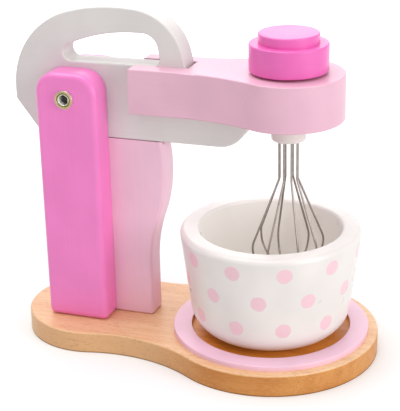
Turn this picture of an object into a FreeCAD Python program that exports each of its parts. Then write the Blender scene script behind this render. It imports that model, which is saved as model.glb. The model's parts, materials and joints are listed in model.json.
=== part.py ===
"""Wooden toy stand mixer: a tilting head on two posts, a hand-turned balloon whisk and a loose bowl.

Frame: origin on the floor under the centre of the base's large round end, +X towards that end,
+Z up, the near post on the -Y side. All sizes are in millimetres and live in the sheet "Sizes".
"""
import FreeCAD, Part
import math
import os
import re

import Sketcher
from FreeCAD import Vector

DIMENSIONS = (
    # base board
    ("base_thickness", 15.0), ("base_radius", 74.4), ("base_tail_radius", 50.5),
    ("base_tail_distance", 130.0), ("base_waist_radius", 100.0), ("base_edge_round", 1.2),
    # ring that keeps the bowl in place
    ("ring_outer_radius", 67.7), ("ring_inner_radius", 55.0), ("ring_thickness", 3.5),
    ("ring_edge_round", 0.5),
    # bowl
    ("bowl_height", 75.6), ("bowl_rim_radius", 62.0), ("bowl_rim_width", 13.2),
    ("bowl_bottom_radius", 52.8), ("bowl_foot_round", 22.0), ("bowl_lip_round", 3.6),
    ("bowl_mouth_round", 2.2), ("bowl_floor_thickness", 10.0), ("bowl_inside_bottom_radius", 42.0),
    ("bowl_inside_round", 17.0),
    # posts
    ("post_width", 45.0), ("post_thickness", 18.8), ("post_height", 179.3), ("post_distance", 134.8),
    ("post_corner_round", 12.5), ("post_edge_round", 2.6), ("post_inner_round", 1.0),
    # column between the posts
    ("column_thickness", 18.6), ("column_front", 50.3), ("column_straight_height", 38.0),
    ("column_curve_radius", 106.0), ("column_throat_shift", 12.4), ("column_edge_round", 2.4),
    ("rest_gap", 0.3), ("heel_gap", 3.5),
    # pivot bolt and its sleeve nut
    ("pivot_height", 162.0), ("pin_radius", 4.0), ("thread_radius", 3.0), ("pin_clearance", 0.05),
    ("bolt_head_radius", 6.5), ("bolt_head_height", 8.0), ("bolt_head_proud", 2.6),
    ("head_recess_clearance", 0.3), ("bolt_head_round", 0.5), ("hex_across_flats", 6.0),
    ("hex_depth", 4.0), ("thread_length", 12.0), ("nut_bore_spare", 2.0),
    # head board, measured from the pivot
    ("board_thickness", 18.0), ("board_back", 46.2), ("board_drop", 30.9), ("board_back_foot", 8.0),
    ("heel_setback", 29.1), ("board_back_radius", 57.0), ("crown_radius", 125.0),
    ("brow_radius", 38.4), ("brow_centre_reach", 40.4), ("brow_centre_height", 20.8),
    ("handle_front_reach", 81.6), ("tongue_height", 10.0), ("tongue_reach", 122.0),
    ("nose_radius", 20.5), ("board_edge_round", 1.0), ("heel_corner_round", 4.0),
    # hand hole in the head board, measured from the pivot
    ("grip_back", 8.4), ("grip_front", 62.3), ("grip_floor", 21.3), ("grip_back_height", 30.8),
    ("grip_front_height", 42.4), ("grip_lean", 3.4), ("grip_roof_radius", 118.0),
    ("grip_corner_round", 5.5), ("grip_brow_round", 11.0),
    # mixer arm
    ("arm_thickness", 30.8), ("arm_drop", 9.0), ("arm_half_width", 21.0), ("arm_back_reach", 43.1),
    ("arm_end_radius", 37.0), ("arm_flare_radius", 130.0), ("arm_edge_round", 0.8),
    ("joint_clearance", 0.05), ("spin_offset", 12.5),
    # knob, shaft, washers and whisk hub
    ("knob_radius", 26.1), ("knob_thickness", 18.1), ("cap_radius", 20.0), ("cap_thickness", 6.7),
    ("knob_edge_round", 0.7), ("shaft_radius", 4.0), ("shaft_clearance", 0.05),
    ("shaft_knob_depth", 12.0), ("shaft_hub_depth", 8.0), ("washer_radius", 9.0),
    ("washer_thickness", 1.3), ("washer_gap", 0.3), ("hub_radius", 11.4), ("hub_height", 13.5),
    ("hub_edge_round", 1.6),
    # whisk wires
    ("wire_radius", 0.7), ("wire_clearance", 0.05), ("wire_seat_depth", 6.0), ("wire_circle_radius", 6.5),
    ("wire_straight", 26.7), ("whisk_radius", 25.2), ("whisk_waist_drop", 78.0),
    ("whisk_length", 100.0), ("wire_bend_radius", 4.0), ("whisk_shoulder_radius", 14.0),
    ("whisk_bottom_radius", 27.0), ("wire_stack_step", 1.7), ("whisk_rest_angle", -12.0),
    # dowels and screws
    ("dowel_radius", 4.0), ("dowel_clearance", 0.05), ("column_dowel_depth", 8.0),
    ("column_dowel_low", 35.0), ("column_dowel_high", 95.0), ("arm_dowel_radius", 3.0),
    ("arm_dowel_depth", 7.0), ("arm_dowel_back", 10.0), ("arm_dowel_front", 30.0),
    ("screw_radius", 2.0), ("screw_head_radius", 4.2), ("screw_length", 36.0),
    ("screw_clearance", 0.05), ("screw_sink", 0.4), ("post_screw_spacing", 22.0),
    ("column_screw_front", 34.0),
    # head tilt at the column's stop face, in degrees
    ("tilt_limit", 45.0),
)

WIRE_LOOPS = 4

doc = FreeCAD.newDocument("ToyStandMixer")
sheet = doc.addObject("Spreadsheet::Sheet", "Sizes")
for row, (alias, number) in enumerate(DIMENSIONS, start=1):
    sheet.set(f"A{row}", alias)
    sheet.set(f"B{row}", str(number))
    sheet.setAlias(f"B{row}", alias)
doc.recompute()


def formula(text):
    """Point every size name (two or more words joined by underscores) at its cell."""
    return re.sub(r"[a-z]+(?:_[a-z]+)+", lambda match: "Sizes." + match[0], text)


def value(text):
    """The number a formula comes to."""
    return float(sheet.evalExpression(formula(text)))


def bind(item, prop, text):
    """Drive a property by a formula on the sheet."""
    item.setExpression(prop, formula(text))


# Levels and places that several pieces share
PIVOT_X = "(-post_distance)"
PIVOT_Z = "(base_thickness + pivot_height)"
ARM_BOTTOM = f"({PIVOT_Z} - arm_drop)"
ARM_TOP = f"({ARM_BOTTOM} + arm_thickness)"
KNOB_BOTTOM = f"({ARM_TOP} + washer_gap + washer_thickness)"
HUB_TOP = f"({ARM_BOTTOM} - washer_gap - washer_thickness)"
HUB_BOTTOM = f"({HUB_TOP} - hub_height)"
PIVOT_TO_SPIN = "(post_distance + spin_offset)"
POST_OFFSET = "((column_thickness + post_thickness) / 2)"
ARM_MIDDLE = "(arm_thickness / 2 - arm_drop)"
ARM_DOWEL_PLACES = ("(arm_back_reach + arm_dowel_back)", "(arm_back_reach + arm_dowel_front)")


def new_body(label, x="0", y="0", z="0"):
    """An empty body with its label and place."""
    body = doc.addObject("PartDesign::Body", label)
    body.Label = label
    for axis, text in zip("xyz", (x, y, z)):
        bind(body, f"Placement.Base.{axis}", text)
    return body


def new_sketch(body, name, plane="XY_Plane", offset=None):
    """A sketch on one of the body's own origin planes, or at a height above it."""
    sketch = body.newObject("Sketcher::SketchObject", name)
    support = next(item for item in body.Origin.OriginFeatures if item.Role == plane)
    sketch.AttachmentSupport = [(support, "")]
    sketch.MapMode = "FlatFace"
    if offset:
        bind(sketch, "AttachmentOffset.Base.z", offset)
    return sketch


def dimension(sketch, kind, *args, text):
    """Add a dimension that follows a formula."""
    index = sketch.addConstraint(Sketcher.Constraint(kind, *args, value(text)))
    bind(sketch, f"Constraints[{index}]", text)


def pin(sketch, geometry, end, x, y):
    """Hold a point at coordinates measured from the sketch's origin."""
    for kind, text in (("DistanceX", x), ("DistanceY", y)):
        if text == "0":
            axis = -2 if kind == "DistanceX" else -1
            sketch.addConstraint(Sketcher.Constraint("PointOnObject", geometry, end, axis))
        else:
            dimension(sketch, kind, -1, 1, geometry, end, text=text)


def draw_loop(sketch, corners):
    """A closed outline of straight edges, each corner held by two formulas."""
    points = [Vector(value(x), value(y), 0) for x, y in corners]
    first = sketch.GeometryCount
    for start, end in zip(points, points[1:] + points[:1]):
        sketch.addGeometry(Part.LineSegment(start, end))
    for index, (x, y) in enumerate(corners):
        following = first + (index + 1) % len(corners)
        sketch.addConstraint(Sketcher.Constraint("Coincident", first + index, 2, following, 1))
        pin(sketch, first + index, 1, x, y)


def draw_circle(sketch, x, y, radius):
    """A circle held by its centre and radius."""
    centre = Vector(value(x), value(y), 0)
    index = sketch.addGeometry(Part.Circle(centre, Vector(0, 0, 1), value(radius)))
    if x == "0" and y == "0":
        sketch.addConstraint(Sketcher.Constraint("Coincident", index, 3, -1, 1))
    else:
        pin(sketch, index, 3, x, y)
    dimension(sketch, "Radius", index, text=radius)


def arc(centre, radius, start, end):
    """An anticlockwise arc between two points that lie on it."""
    angles = [math.atan2(point.y - centre.y, point.x - centre.x) for point in (start, end)]
    if angles[1] < angles[0]:
        angles[1] += 2 * math.pi
    return Part.ArcOfCircle(Part.Circle(centre, Vector(0, 0, 1), radius), *angles)


def tangent(sketch, first, first_end, second, second_end):
    """Join two ends smoothly."""
    sketch.addConstraint(Sketcher.Constraint("Tangent", first, first_end, second, second_end))


def centre_at_distances(first, first_distance, second, second_distance, side):
    """The point at two given distances from two others, on one side of the line between them."""
    span = second - first
    along = (first_distance**2 - second_distance**2 + span.Length**2) / (2 * span.Length)
    across = math.sqrt(first_distance**2 - along**2)
    unit = Vector(span).normalize()
    return first + unit * along + Vector(-unit.y, unit.x, 0) * across * side


def towards(start, target, distance):
    """The point at a distance from one point on the way to another."""
    return start + (target - start).normalize() * distance


def pad(body, sketch, length, symmetric=False):
    """A pad of a sketch."""
    feature = body.newObject("PartDesign::Pad", sketch.Name + "Pad")
    feature.Profile = sketch
    bind(feature, "Length", length)
    if symmetric:
        feature.SideType = "Symmetric"
    return feature


def pocket(body, sketch, length=None, reverse=False, symmetric=False):
    """A pocket of a sketch, through everything when no length is given."""
    before = body.Shape.Volume
    feature = body.newObject("PartDesign::Pocket", sketch.Name + "Pocket")
    feature.Profile = sketch
    feature.Reversed = reverse
    if symmetric:
        feature.SideType = "Symmetric"
    if length:
        bind(feature, "Length", length)
    else:
        feature.Type = "ThroughAll"
    doc.recompute()
    if not body.Shape.Volume < before - 1e-6:
        raise ValueError(f"{sketch.Name} cuts nothing")
    return feature


def revolve(body, sketch):
    """A full turn of a sketch about its own vertical axis."""
    feature = body.newObject("PartDesign::Revolution", sketch.Name + "Turn")
    feature.Profile = sketch
    feature.ReferenceAxis = (sketch, ["V_Axis"])
    feature.Angle = 360
    return feature


def fillet(body, name, radius, chosen):
    """Round the edges of the body's last feature that a test picks out."""
    doc.recompute()
    base = body.Tip
    names = [f"Edge{i}" for i, edge in enumerate(base.Shape.Edges, start=1) if chosen(edge)]
    if not names:
        raise ValueError(f"{name} finds no edge")
    feature = body.newObject("PartDesign::Fillet", name)
    feature.Base = (base, names)
    bind(feature, "Radius", radius)
    return feature


def upright_at(axis, corners):
    """A test for straight edges along an axis that pass through given corners."""
    others = [name for name in "xyz" if name != axis]

    def test(edge):
        ends = [vertex.Point for vertex in edge.Vertexes]
        if len(ends) != 2:
            return False
        run = ends[1] - ends[0]
        middle = (ends[0] + ends[1]) / 2
        return abs(getattr(run, axis)) > 0.999 * run.Length and any(
            math.hypot(getattr(middle, others[0]) - a, getattr(middle, others[1]) - b) < 0.1
            for a, b in corners)
    return test


def flat_at(axis, level, keep=lambda edge: True):
    """A test for edges that lie in one plane across an axis."""
    def test(edge):
        box = edge.BoundBox
        low, high = getattr(box, axis.upper() + "Min"), getattr(box, axis.upper() + "Max")
        return abs(low - level) < 0.01 and abs(high - level) < 0.01 and keep(edge)
    return test


def base_outline(sketch):
    """Two round ends joined by two hollow waist curves."""
    big, tail, waist = value("base_radius"), value("base_tail_radius"), value("base_waist_radius")
    front, back = Vector(0, 0, 0), Vector(-value("base_tail_distance"), 0, 0)
    hollow = [centre_at_distances(front, big + waist, back, tail + waist, side) for side in (-1, 1)]
    big_ends = [towards(front, centre, big) for centre in hollow]
    tail_ends = [towards(back, centre, tail) for centre in hollow]
    upper = 0 if hollow[0].y > 0 else 1
    lower = 1 - upper
    sketch.addGeometry(arc(front, big, big_ends[lower], big_ends[upper]))
    sketch.addGeometry(arc(hollow[upper], waist, tail_ends[upper], big_ends[upper]))
    sketch.addGeometry(arc(back, tail, tail_ends[upper], tail_ends[lower]))
    sketch.addGeometry(arc(hollow[lower], waist, big_ends[lower], tail_ends[lower]))
    tangent(sketch, 0, 2, 1, 2)
    tangent(sketch, 1, 1, 2, 1)
    tangent(sketch, 2, 2, 3, 2)
    tangent(sketch, 3, 1, 0, 1)
    sketch.addConstraint(Sketcher.Constraint("Coincident", 0, 3, -1, 1))
    pin(sketch, 2, 3, "-base_tail_distance", "0")
    dimension(sketch, "Radius", 0, text="base_radius")
    dimension(sketch, "Radius", 2, text="base_tail_radius")
    dimension(sketch, "Radius", 1, text="base_waist_radius")
    dimension(sketch, "Radius", 3, text="base_waist_radius")


SCREW_PLACES = [(f"{PIVOT_X} + {along}", across)
                for across in (f"-{POST_OFFSET}", POST_OFFSET)
                for along in ("post_screw_spacing / 2", "(-post_screw_spacing / 2)")]
SCREW_PLACES += [(f"{PIVOT_X} + column_screw_front", "0"), (PIVOT_X, "0")]


def make_base_board():
    """The beech board, with sunk screw holes from below."""
    body = new_body("base_board")
    outline = new_sketch(body, "BaseOutline")
    base_outline(outline)
    pad(body, outline, "base_thickness")
    doc.recompute()
    holes = new_sketch(body, "BaseScrewHoles")
    for x, y in SCREW_PLACES:
        draw_circle(holes, x, y, "screw_radius + screw_clearance")
    pocket(body, holes, reverse=True)
    places = [(value(x), value(y)) for x, y in SCREW_PLACES]

    def hole_mouth(edge):
        if not edge.Closed or abs(edge.BoundBox.ZMax) > 0.01:
            return False
        centre = edge.Curve.Center
        return any(math.hypot(centre.x - x, centre.y - y) < 0.1 for x, y in places)
    names = [f"Edge{i}" for i, edge in enumerate(body.Tip.Shape.Edges, start=1) if hole_mouth(edge)]
    drilled = body.Tip
    sink = body.newObject("PartDesign::Chamfer", "BaseScrewSinks")
    sink.Base = (drilled, names)
    bind(sink, "Size", "screw_head_radius - screw_radius + screw_sink")
    fillet(body, "BaseEdges", "base_edge_round",
           flat_at("z", value("base_thickness"), lambda edge: edge.Length > value("base_radius")))
    return body


def make_bowl_ring():
    """The flat ring glued to the base round the bowl's foot."""
    body = new_body("bowl_ring", z="base_thickness")
    sketch = new_sketch(body, "RingOutline")
    draw_circle(sketch, "0", "0", "ring_outer_radius")
    draw_circle(sketch, "0", "0", "ring_inner_radius")
    pad(body, sketch, "ring_thickness")
    fillet(body, "RingEdges", "ring_edge_round", flat_at("z", value("ring_thickness")))
    return body


def make_bowl():
    """The turned bowl, with a thick flat rim and a round lower edge."""
    body = new_body("bowl", z="base_thickness")
    sketch = new_sketch(body, "BowlSection", "XZ_Plane")
    draw_loop(sketch, [
        ("0", "0"), ("bowl_bottom_radius", "0"), ("bowl_rim_radius", "bowl_height"),
        ("bowl_rim_radius - bowl_rim_width", "bowl_height"),
        ("bowl_inside_bottom_radius", "bowl_floor_thickness"), ("0", "bowl_floor_thickness")])
    revolve(body, sketch)
    top, floor = value("bowl_height"), value("bowl_floor_thickness")
    rim, mouth = value("bowl_rim_radius"), value("bowl_rim_radius - bowl_rim_width")

    def circle(level, radius):
        return flat_at("z", level, lambda edge: abs(edge.BoundBox.XMax - radius) < 0.1)
    fillet(body, "BowlFootRound", "bowl_foot_round", circle(0, value("bowl_bottom_radius")))
    fillet(body, "BowlLipRound", "bowl_lip_round", circle(top, rim))
    fillet(body, "BowlMouthRound", "bowl_mouth_round", circle(top, mouth))
    fillet(body, "BowlInsideRound", "bowl_inside_round",
           circle(floor, value("bowl_inside_bottom_radius")))
    return body


def make_post(label, side):
    """One of the two posts that hold the pivot; side is -1 for the near one and 1 for the far one."""
    body = new_body(label, x=PIVOT_X, y=f"{side} * {POST_OFFSET}", z="base_thickness")
    half, top = value("post_width / 2"), value("post_height")
    outline = new_sketch(body, label + "Outline", "XZ_Plane")
    draw_loop(outline, [("-post_width / 2", "0"), ("post_width / 2", "0"),
                        ("post_width / 2", "post_height"), ("-post_width / 2", "post_height")])
    pad(body, outline, "post_thickness", symmetric=True)
    fillet(body, label + "Corners", "post_corner_round", upright_at("y", [(-half, top), (half, top)]))
    doc.recompute()
    for face, radius in ((side, "post_edge_round"), (-side, "post_inner_round")):
        level = face * value("post_thickness / 2")
        fillet(body, f"{label}Edges{'Out' if face == side else 'In'}", radius,
               flat_at("y", level, lambda edge: edge.BoundBox.ZMax > value("post_inner_round")))
    doc.recompute()
    outer = f"{-side} * post_thickness / 2"
    inner = f"{side} * post_thickness / 2"
    pin_hole = new_sketch(body, label + "PinHole", "XZ_Plane")
    draw_circle(pin_hole, "0", "pivot_height", "pin_radius + pin_clearance")
    pocket(body, pin_hole, symmetric=True)
    recess = new_sketch(body, label + "Recess", "XZ_Plane", outer)
    draw_circle(recess, "0", "pivot_height", "bolt_head_radius + head_recess_clearance")
    pocket(body, recess, "bolt_head_height - bolt_head_proud", reverse=side > 0)
    dowels = new_sketch(body, label + "DowelHoles", "XZ_Plane", inner)
    for height in ("column_dowel_low", "column_dowel_high"):
        draw_circle(dowels, "0", height, "dowel_radius + dowel_clearance")
    pocket(body, dowels, "column_dowel_depth + dowel_clearance", reverse=side < 0)
    screws = new_sketch(body, label + "ScrewHoles")
    for along in ("post_screw_spacing / 2", "(-post_screw_spacing / 2)"):
        draw_circle(screws, along, "0", "screw_radius + screw_clearance")
    pocket(body, screws, "screw_length - base_thickness + screw_clearance", reverse=True)
    return body


def column_outline(sketch):
    """The column's side view: a foot, a throat that swings forward, and a stop for the tilted head."""
    drop = "(board_drop + rest_gap)"
    sweep = "(sqrt(heel_setback ^ 2 + board_drop ^ 2) + heel_gap)"
    reach = f"sqrt({sweep} ^ 2 - {drop} ^ 2)"
    top = f"pivot_height - {drop}"
    stop_low = (f"{drop} * sin(tilt_limit) - {reach} * cos(tilt_limit)",
                f"pivot_height - {drop} * cos(tilt_limit) - {reach} * sin(tilt_limit)")
    slide = f"(({drop} * cos(tilt_limit) - {drop}) / sin(tilt_limit))"
    stop_high = (f"{drop} * sin(tilt_limit) + {slide} * cos(tilt_limit)", top)
    back_top = f"pivot_height - sqrt({sweep} ^ 2 - (post_width / 2) ^ 2)"
    half = "(-post_width / 2)"
    bend = value("column_curve_radius")
    shift = value("column_throat_shift")
    front, low = value("column_front"), value("column_straight_height")
    rise = math.sqrt(shift * (4 * bend - shift))
    hollow = Vector(front + bend, low, 0)
    swell = Vector(front + shift - bend, low + rise, 0)
    middle = (hollow + swell) / 2
    lip_height = value(top)
    lip = Vector(swell.x + math.sqrt(bend**2 - (lip_height - swell.y)**2), lip_height, 0)
    foot_back, foot_front = Vector(value(half), 0, 0), Vector(front, 0, 0)
    straight = Vector(front, low, 0)
    high, deep = (Vector(value(x), value(y), 0) for x, y in (stop_high, stop_low))
    rear = Vector(value(half), value(back_top), 0)
    pivot = Vector(0, value("pivot_height"), 0)
    sketch.addGeometry(Part.LineSegment(foot_back, foot_front))
    sketch.addGeometry(Part.LineSegment(foot_front, straight))
    sketch.addGeometry(arc(hollow, bend, middle, straight))
    sketch.addGeometry(arc(swell, bend, middle, lip))
    sketch.addGeometry(Part.LineSegment(lip, high))
    sketch.addGeometry(Part.LineSegment(high, deep))
    sketch.addGeometry(arc(pivot, value(sweep), rear, deep))
    sketch.addGeometry(Part.LineSegment(rear, foot_back))
    for first, first_end, second, second_end in (
            (0, 2, 1, 1), (3, 2, 4, 1), (4, 2, 5, 1), (5, 2, 6, 2), (6, 1, 7, 1), (7, 2, 0, 1)):
        sketch.addConstraint(Sketcher.Constraint("Coincident", first, first_end, second, second_end))
    tangent(sketch, 1, 2, 2, 2)
    tangent(sketch, 2, 1, 3, 1)
    pin(sketch, 0, 1, half, "0")
    pin(sketch, 1, 1, "column_front", "0")
    pin(sketch, 1, 2, "column_front", "column_straight_height")
    dimension(sketch, "Radius", 2, text="column_curve_radius")
    dimension(sketch, "Radius", 3, text="column_curve_radius")
    dimension(sketch, "DistanceX", -1, 1, 3, 3,
              text="column_front + column_throat_shift - column_curve_radius")
    dimension(sketch, "DistanceY", -1, 1, 3, 2, text=top)
    pin(sketch, 5, 1, *stop_high)
    pin(sketch, 5, 2, *stop_low)
    pin(sketch, 6, 3, "0", "pivot_height")
    dimension(sketch, "DistanceX", -1, 1, 6, 1, text=half)


def make_column():
    """The board between the posts; its top carries the head and its back clears the head's heel."""
    body = new_body("column", x=PIVOT_X, z="base_thickness")
    outline = new_sketch(body, "ColumnOutline", "XZ_Plane")
    column_outline(outline)
    pad(body, outline, "column_thickness", symmetric=True)
    post_front = value("post_width / 2")
    top = value("pivot_height - board_drop - rest_gap")
    half = value("column_thickness / 2")

    def front_edge(edge):
        box = edge.BoundBox
        return (abs(abs(box.YMin) - half) < 0.01 and box.YLength < 0.01 and box.XMin > post_front
                and box.ZMax > 1 and box.ZMin < top - 0.01)
    fillet(body, "ColumnEdges", "column_edge_round", front_edge)
    doc.recompute()
    dowels = new_sketch(body, "ColumnDowelHoles", "XZ_Plane")
    for height in ("column_dowel_low", "column_dowel_high"):
        draw_circle(dowels, "0", height, "dowel_radius + dowel_clearance")
    pocket(body, dowels, symmetric=True)
    screws = new_sketch(body, "ColumnScrewHoles")
    for x in ("column_screw_front", "0"):
        draw_circle(screws, x, "0", "screw_radius + screw_clearance")
    pocket(body, screws, "screw_length - base_thickness + screw_clearance", reverse=True)
    return body


def board_outline(sketch):
    """The head board's side view, measured from the pivot."""
    back = "(-board_back)"
    under = "(-board_drop)"
    rear_radius, crown, brow = (value(name) for name in
                                ("board_back_radius", "crown_radius", "brow_radius"))
    rear_centre = Vector(rear_radius - value("board_back"), 0, 0)
    brow_centre = Vector(value("brow_centre_reach"), value("brow_centre_height"), 0)
    crown_centre = centre_at_distances(rear_centre, crown - rear_radius,
                                       brow_centre, crown - brow, -1)
    rear_join = towards(crown_centre, rear_centre, crown)
    brow_join = towards(crown_centre, brow_centre, crown)
    step = Vector(value("handle_front_reach"), value("tongue_height"), 0)
    away = step - brow_centre
    lean = math.atan2(away.y, away.x) + math.acos(brow / away.Length)
    front_join = brow_centre + Vector(math.cos(lean), math.sin(lean), 0) * brow
    nose = value("nose_radius")
    tip = value("tongue_reach")
    low = value(under)
    corners = {
        "back_top": Vector(value(back), 0, 0), "back_low": Vector(value(back), -value("board_back_foot"), 0),
        "heel": Vector(-value("heel_setback"), low, 0), "chin": Vector(tip - nose, low, 0),
        "nose": Vector(tip, low + nose, 0), "tip": Vector(tip, value("tongue_height"), 0)}
    lines = (("back_top", "back_low"), ("back_low", "heel"), ("heel", "chin"))
    for start, end in lines:
        sketch.addGeometry(Part.LineSegment(corners[start], corners[end]))
    sketch.addGeometry(arc(Vector(tip - nose, low + nose, 0), nose, corners["chin"], corners["nose"]))
    sketch.addGeometry(Part.LineSegment(corners["nose"], corners["tip"]))
    sketch.addGeometry(Part.LineSegment(corners["tip"], step))
    sketch.addGeometry(Part.LineSegment(step, front_join))
    sketch.addGeometry(arc(brow_centre, brow, front_join, brow_join))
    sketch.addGeometry(arc(crown_centre, crown, brow_join, rear_join))
    sketch.addGeometry(arc(rear_centre, rear_radius, rear_join, corners["back_top"]))
    for first, second in ((0, 1), (1, 2), (4, 5), (5, 6)):
        sketch.addConstraint(Sketcher.Constraint("Coincident", first, 2, second, 1))
    for first, second in ((2, 3), (3, 4), (6, 7), (7, 8), (8, 9), (9, 0)):
        tangent(sketch, first, 2, second, 1)
    pin(sketch, 0, 1, back, "0")
    pin(sketch, 1, 1, back, "(-board_back_foot)")
    pin(sketch, 2, 1, "(-heel_setback)", under)
    dimension(sketch, "DistanceY", -1, 1, 2, 2, text=under)
    dimension(sketch, "Radius", 3, text="nose_radius")
    pin(sketch, 5, 1, "tongue_reach", "tongue_height")
    sketch.addConstraint(Sketcher.Constraint("Vertical", 4))
    pin(sketch, 6, 1, "handle_front_reach", "tongue_height")
    pin(sketch, 7, 3, "brow_centre_reach", "brow_centre_height")
    dimension(sketch, "Radius", 7, text="brow_radius")
    dimension(sketch, "Radius", 8, text="crown_radius")
    dimension(sketch, "Radius", 9, text="board_back_radius")


def grip_outline(sketch):
    """The hand hole's side view, measured from the pivot, with a roof that follows the crown."""
    floor_back = ("(-grip_back)", "grip_floor")
    floor_front = ("grip_front", "grip_floor")
    roof_front = ("grip_front - grip_lean", "grip_front_height")
    roof_back = ("(-grip_back)", "grip_back_height")
    points = [Vector(value(x), value(y), 0) for x, y in (floor_back, floor_front, roof_front, roof_back)]
    roof = value("grip_roof_radius")
    centre = centre_at_distances(points[2], roof, points[3], roof, 1)
    sketch.addGeometry(Part.LineSegment(points[0], points[1]))
    sketch.addGeometry(Part.LineSegment(points[1], points[2]))
    sketch.addGeometry(arc(centre, roof, points[2], points[3]))
    sketch.addGeometry(Part.LineSegment(points[3], points[0]))
    for first, second in ((0, 1), (1, 2), (2, 3), (3, 0)):
        sketch.addConstraint(Sketcher.Constraint("Coincident", first, 2, second, 1))
    for index, corner in ((0, floor_back), (1, floor_front), (2, roof_front), (3, roof_back)):
        pin(sketch, index, 1, *corner)
    dimension(sketch, "Radius", 2, text="grip_roof_radius")
    return points


def make_head_board():
    """The tilting board with its hand hole; its tongue and flanks sit in the arm's slot."""
    body = new_body("head_board", x=PIVOT_X, z=PIVOT_Z)
    outline = new_sketch(body, "BoardOutline", "XZ_Plane")
    board_outline(outline)
    pad(body, outline, "board_thickness", symmetric=True)
    fillet(body, "HeelCorner", "heel_corner_round",
           upright_at("y", [(-value("board_back"), -value("board_back_foot"))]))
    doc.recompute()
    grip = new_sketch(body, "GripOutline", "XZ_Plane")
    corners = [(point.x, point.y) for point in grip_outline(grip)]
    pocket(body, grip, symmetric=True)
    fillet(body, "GripCorners", "grip_corner_round", upright_at("y", corners[:2] + corners[3:]))
    fillet(body, "GripBrow", "grip_brow_round", upright_at("y", corners[2:3]))
    half = value("board_thickness / 2")
    fillet(body, "BoardEdges", "board_edge_round", lambda edge: abs(
        abs(edge.BoundBox.YMin) - half) < 0.01 and edge.BoundBox.YLength < 0.01)
    doc.recompute()
    holes = new_sketch(body, "BoardHoles", "XZ_Plane")
    draw_circle(holes, "0", "0", "pin_radius + pin_clearance")
    for along in ARM_DOWEL_PLACES:
        draw_circle(holes, along, ARM_MIDDLE, "arm_dowel_radius + dowel_clearance")
    pocket(body, holes, symmetric=True)
    return body


def arm_outline(sketch):
    """The arm's plan about the whisk's axis: a straight slotted tail that flares into a round end."""
    half, end, flare = value("arm_half_width"), value("arm_end_radius"), value("arm_flare_radius")
    back_text = f"(arm_back_reach - {PIVOT_TO_SPIN})"
    back = value(back_text)
    height = half + flare
    start = -math.sqrt((end + flare)**2 - height**2)
    centres = [Vector(start, side * height, 0) for side in (-1, 1)]
    joins = [towards(Vector(0, 0, 0), centre, end) for centre in centres]
    sketch.addGeometry(Part.LineSegment(Vector(back, half, 0), Vector(back, -half, 0)))
    sketch.addGeometry(Part.LineSegment(Vector(back, -half, 0), Vector(start, -half, 0)))
    sketch.addGeometry(arc(centres[0], flare, joins[0], Vector(start, -half, 0)))
    sketch.addGeometry(arc(Vector(0, 0, 0), end, joins[0], joins[1]))
    sketch.addGeometry(arc(centres[1], flare, Vector(start, half, 0), joins[1]))
    sketch.addGeometry(Part.LineSegment(Vector(start, half, 0), Vector(back, half, 0)))
    sketch.addConstraint(Sketcher.Constraint("Coincident", 0, 2, 1, 1))
    sketch.addConstraint(Sketcher.Constraint("Coincident", 5, 2, 0, 1))
    tangent(sketch, 1, 2, 2, 2)
    tangent(sketch, 2, 1, 3, 1)
    tangent(sketch, 3, 2, 4, 2)
    tangent(sketch, 4, 1, 5, 1)
    sketch.addConstraint(Sketcher.Constraint("Coincident", 3, 3, -1, 1))
    pin(sketch, 0, 1, back_text, "arm_half_width")
    pin(sketch, 0, 2, back_text, "(-arm_half_width)")
    sketch.addConstraint(Sketcher.Constraint("Horizontal", 1))
    sketch.addConstraint(Sketcher.Constraint("Horizontal", 5))
    dimension(sketch, "Radius", 3, text="arm_end_radius")
    dimension(sketch, "Radius", 2, text="arm_flare_radius")
    dimension(sketch, "Radius", 4, text="arm_flare_radius")


def slot_corners(back, front):
    """A rectangle as wide as the head board and its joint."""
    half = "(board_thickness / 2 + joint_clearance)"
    return [(back, f"(-{half})"), (front, f"(-{half})"), (front, half), (back, half)]


def make_mixer_arm():
    """The slotted arm that carries the knob and the whisk."""
    body = new_body("mixer_arm", x="spin_offset", z=ARM_BOTTOM)
    outline = new_sketch(body, "ArmOutline")
    arm_outline(outline)
    pad(body, outline, "arm_thickness")
    top = value("arm_thickness")
    fillet(body, "ArmEdges", "arm_edge_round", lambda edge: flat_at("z", 0)(edge) or flat_at("z", top)(edge))
    doc.recompute()
    behind = f"(-{PIVOT_TO_SPIN})"
    slot = new_sketch(body, "ArmSlot")
    draw_loop(slot, slot_corners(behind, f"(handle_front_reach + joint_clearance - {PIVOT_TO_SPIN})"))
    pocket(body, slot, reverse=True)
    tongue = new_sketch(body, "ArmTongueSlot")
    draw_loop(tongue, slot_corners(behind, f"(tongue_reach + joint_clearance - {PIVOT_TO_SPIN})"))
    pocket(body, tongue, "arm_drop + tongue_height + joint_clearance", reverse=True)
    bore = new_sketch(body, "ArmBore")
    draw_circle(bore, "0", "0", "shaft_radius + shaft_clearance")
    pocket(body, bore, reverse=True)
    dowels = new_sketch(body, "ArmDowelHoles", "XZ_Plane")
    for along in ARM_DOWEL_PLACES:
        draw_circle(dowels, f"{along} - {PIVOT_TO_SPIN}", "arm_thickness / 2",
                    "arm_dowel_radius + dowel_clearance")
    pocket(body, dowels, "board_thickness + 2 * (arm_dowel_depth + dowel_clearance)", symmetric=True)
    return body


def make_pins(label, places, radius, length):
    """Round pins across the head or the column, as separate solids of one part."""
    pins = []
    for number, (x, z) in enumerate(places, start=1):
        pin_solid = doc.addObject("Part::Cylinder", f"{label}_{number}")
        bind(pin_solid, "Radius", radius)
        bind(pin_solid, "Height", length)
        pin_solid.Placement.Rotation = FreeCAD.Rotation(Vector(1, 0, 0), -90)
        bind(pin_solid, "Placement.Base.x", x)
        bind(pin_solid, "Placement.Base.y", f"(-({length}) / 2)")
        bind(pin_solid, "Placement.Base.z", z)
        pins.append(pin_solid)
    group = doc.addObject("Part::Compound", label)
    group.Label = label
    group.Links = pins
    return group


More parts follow.
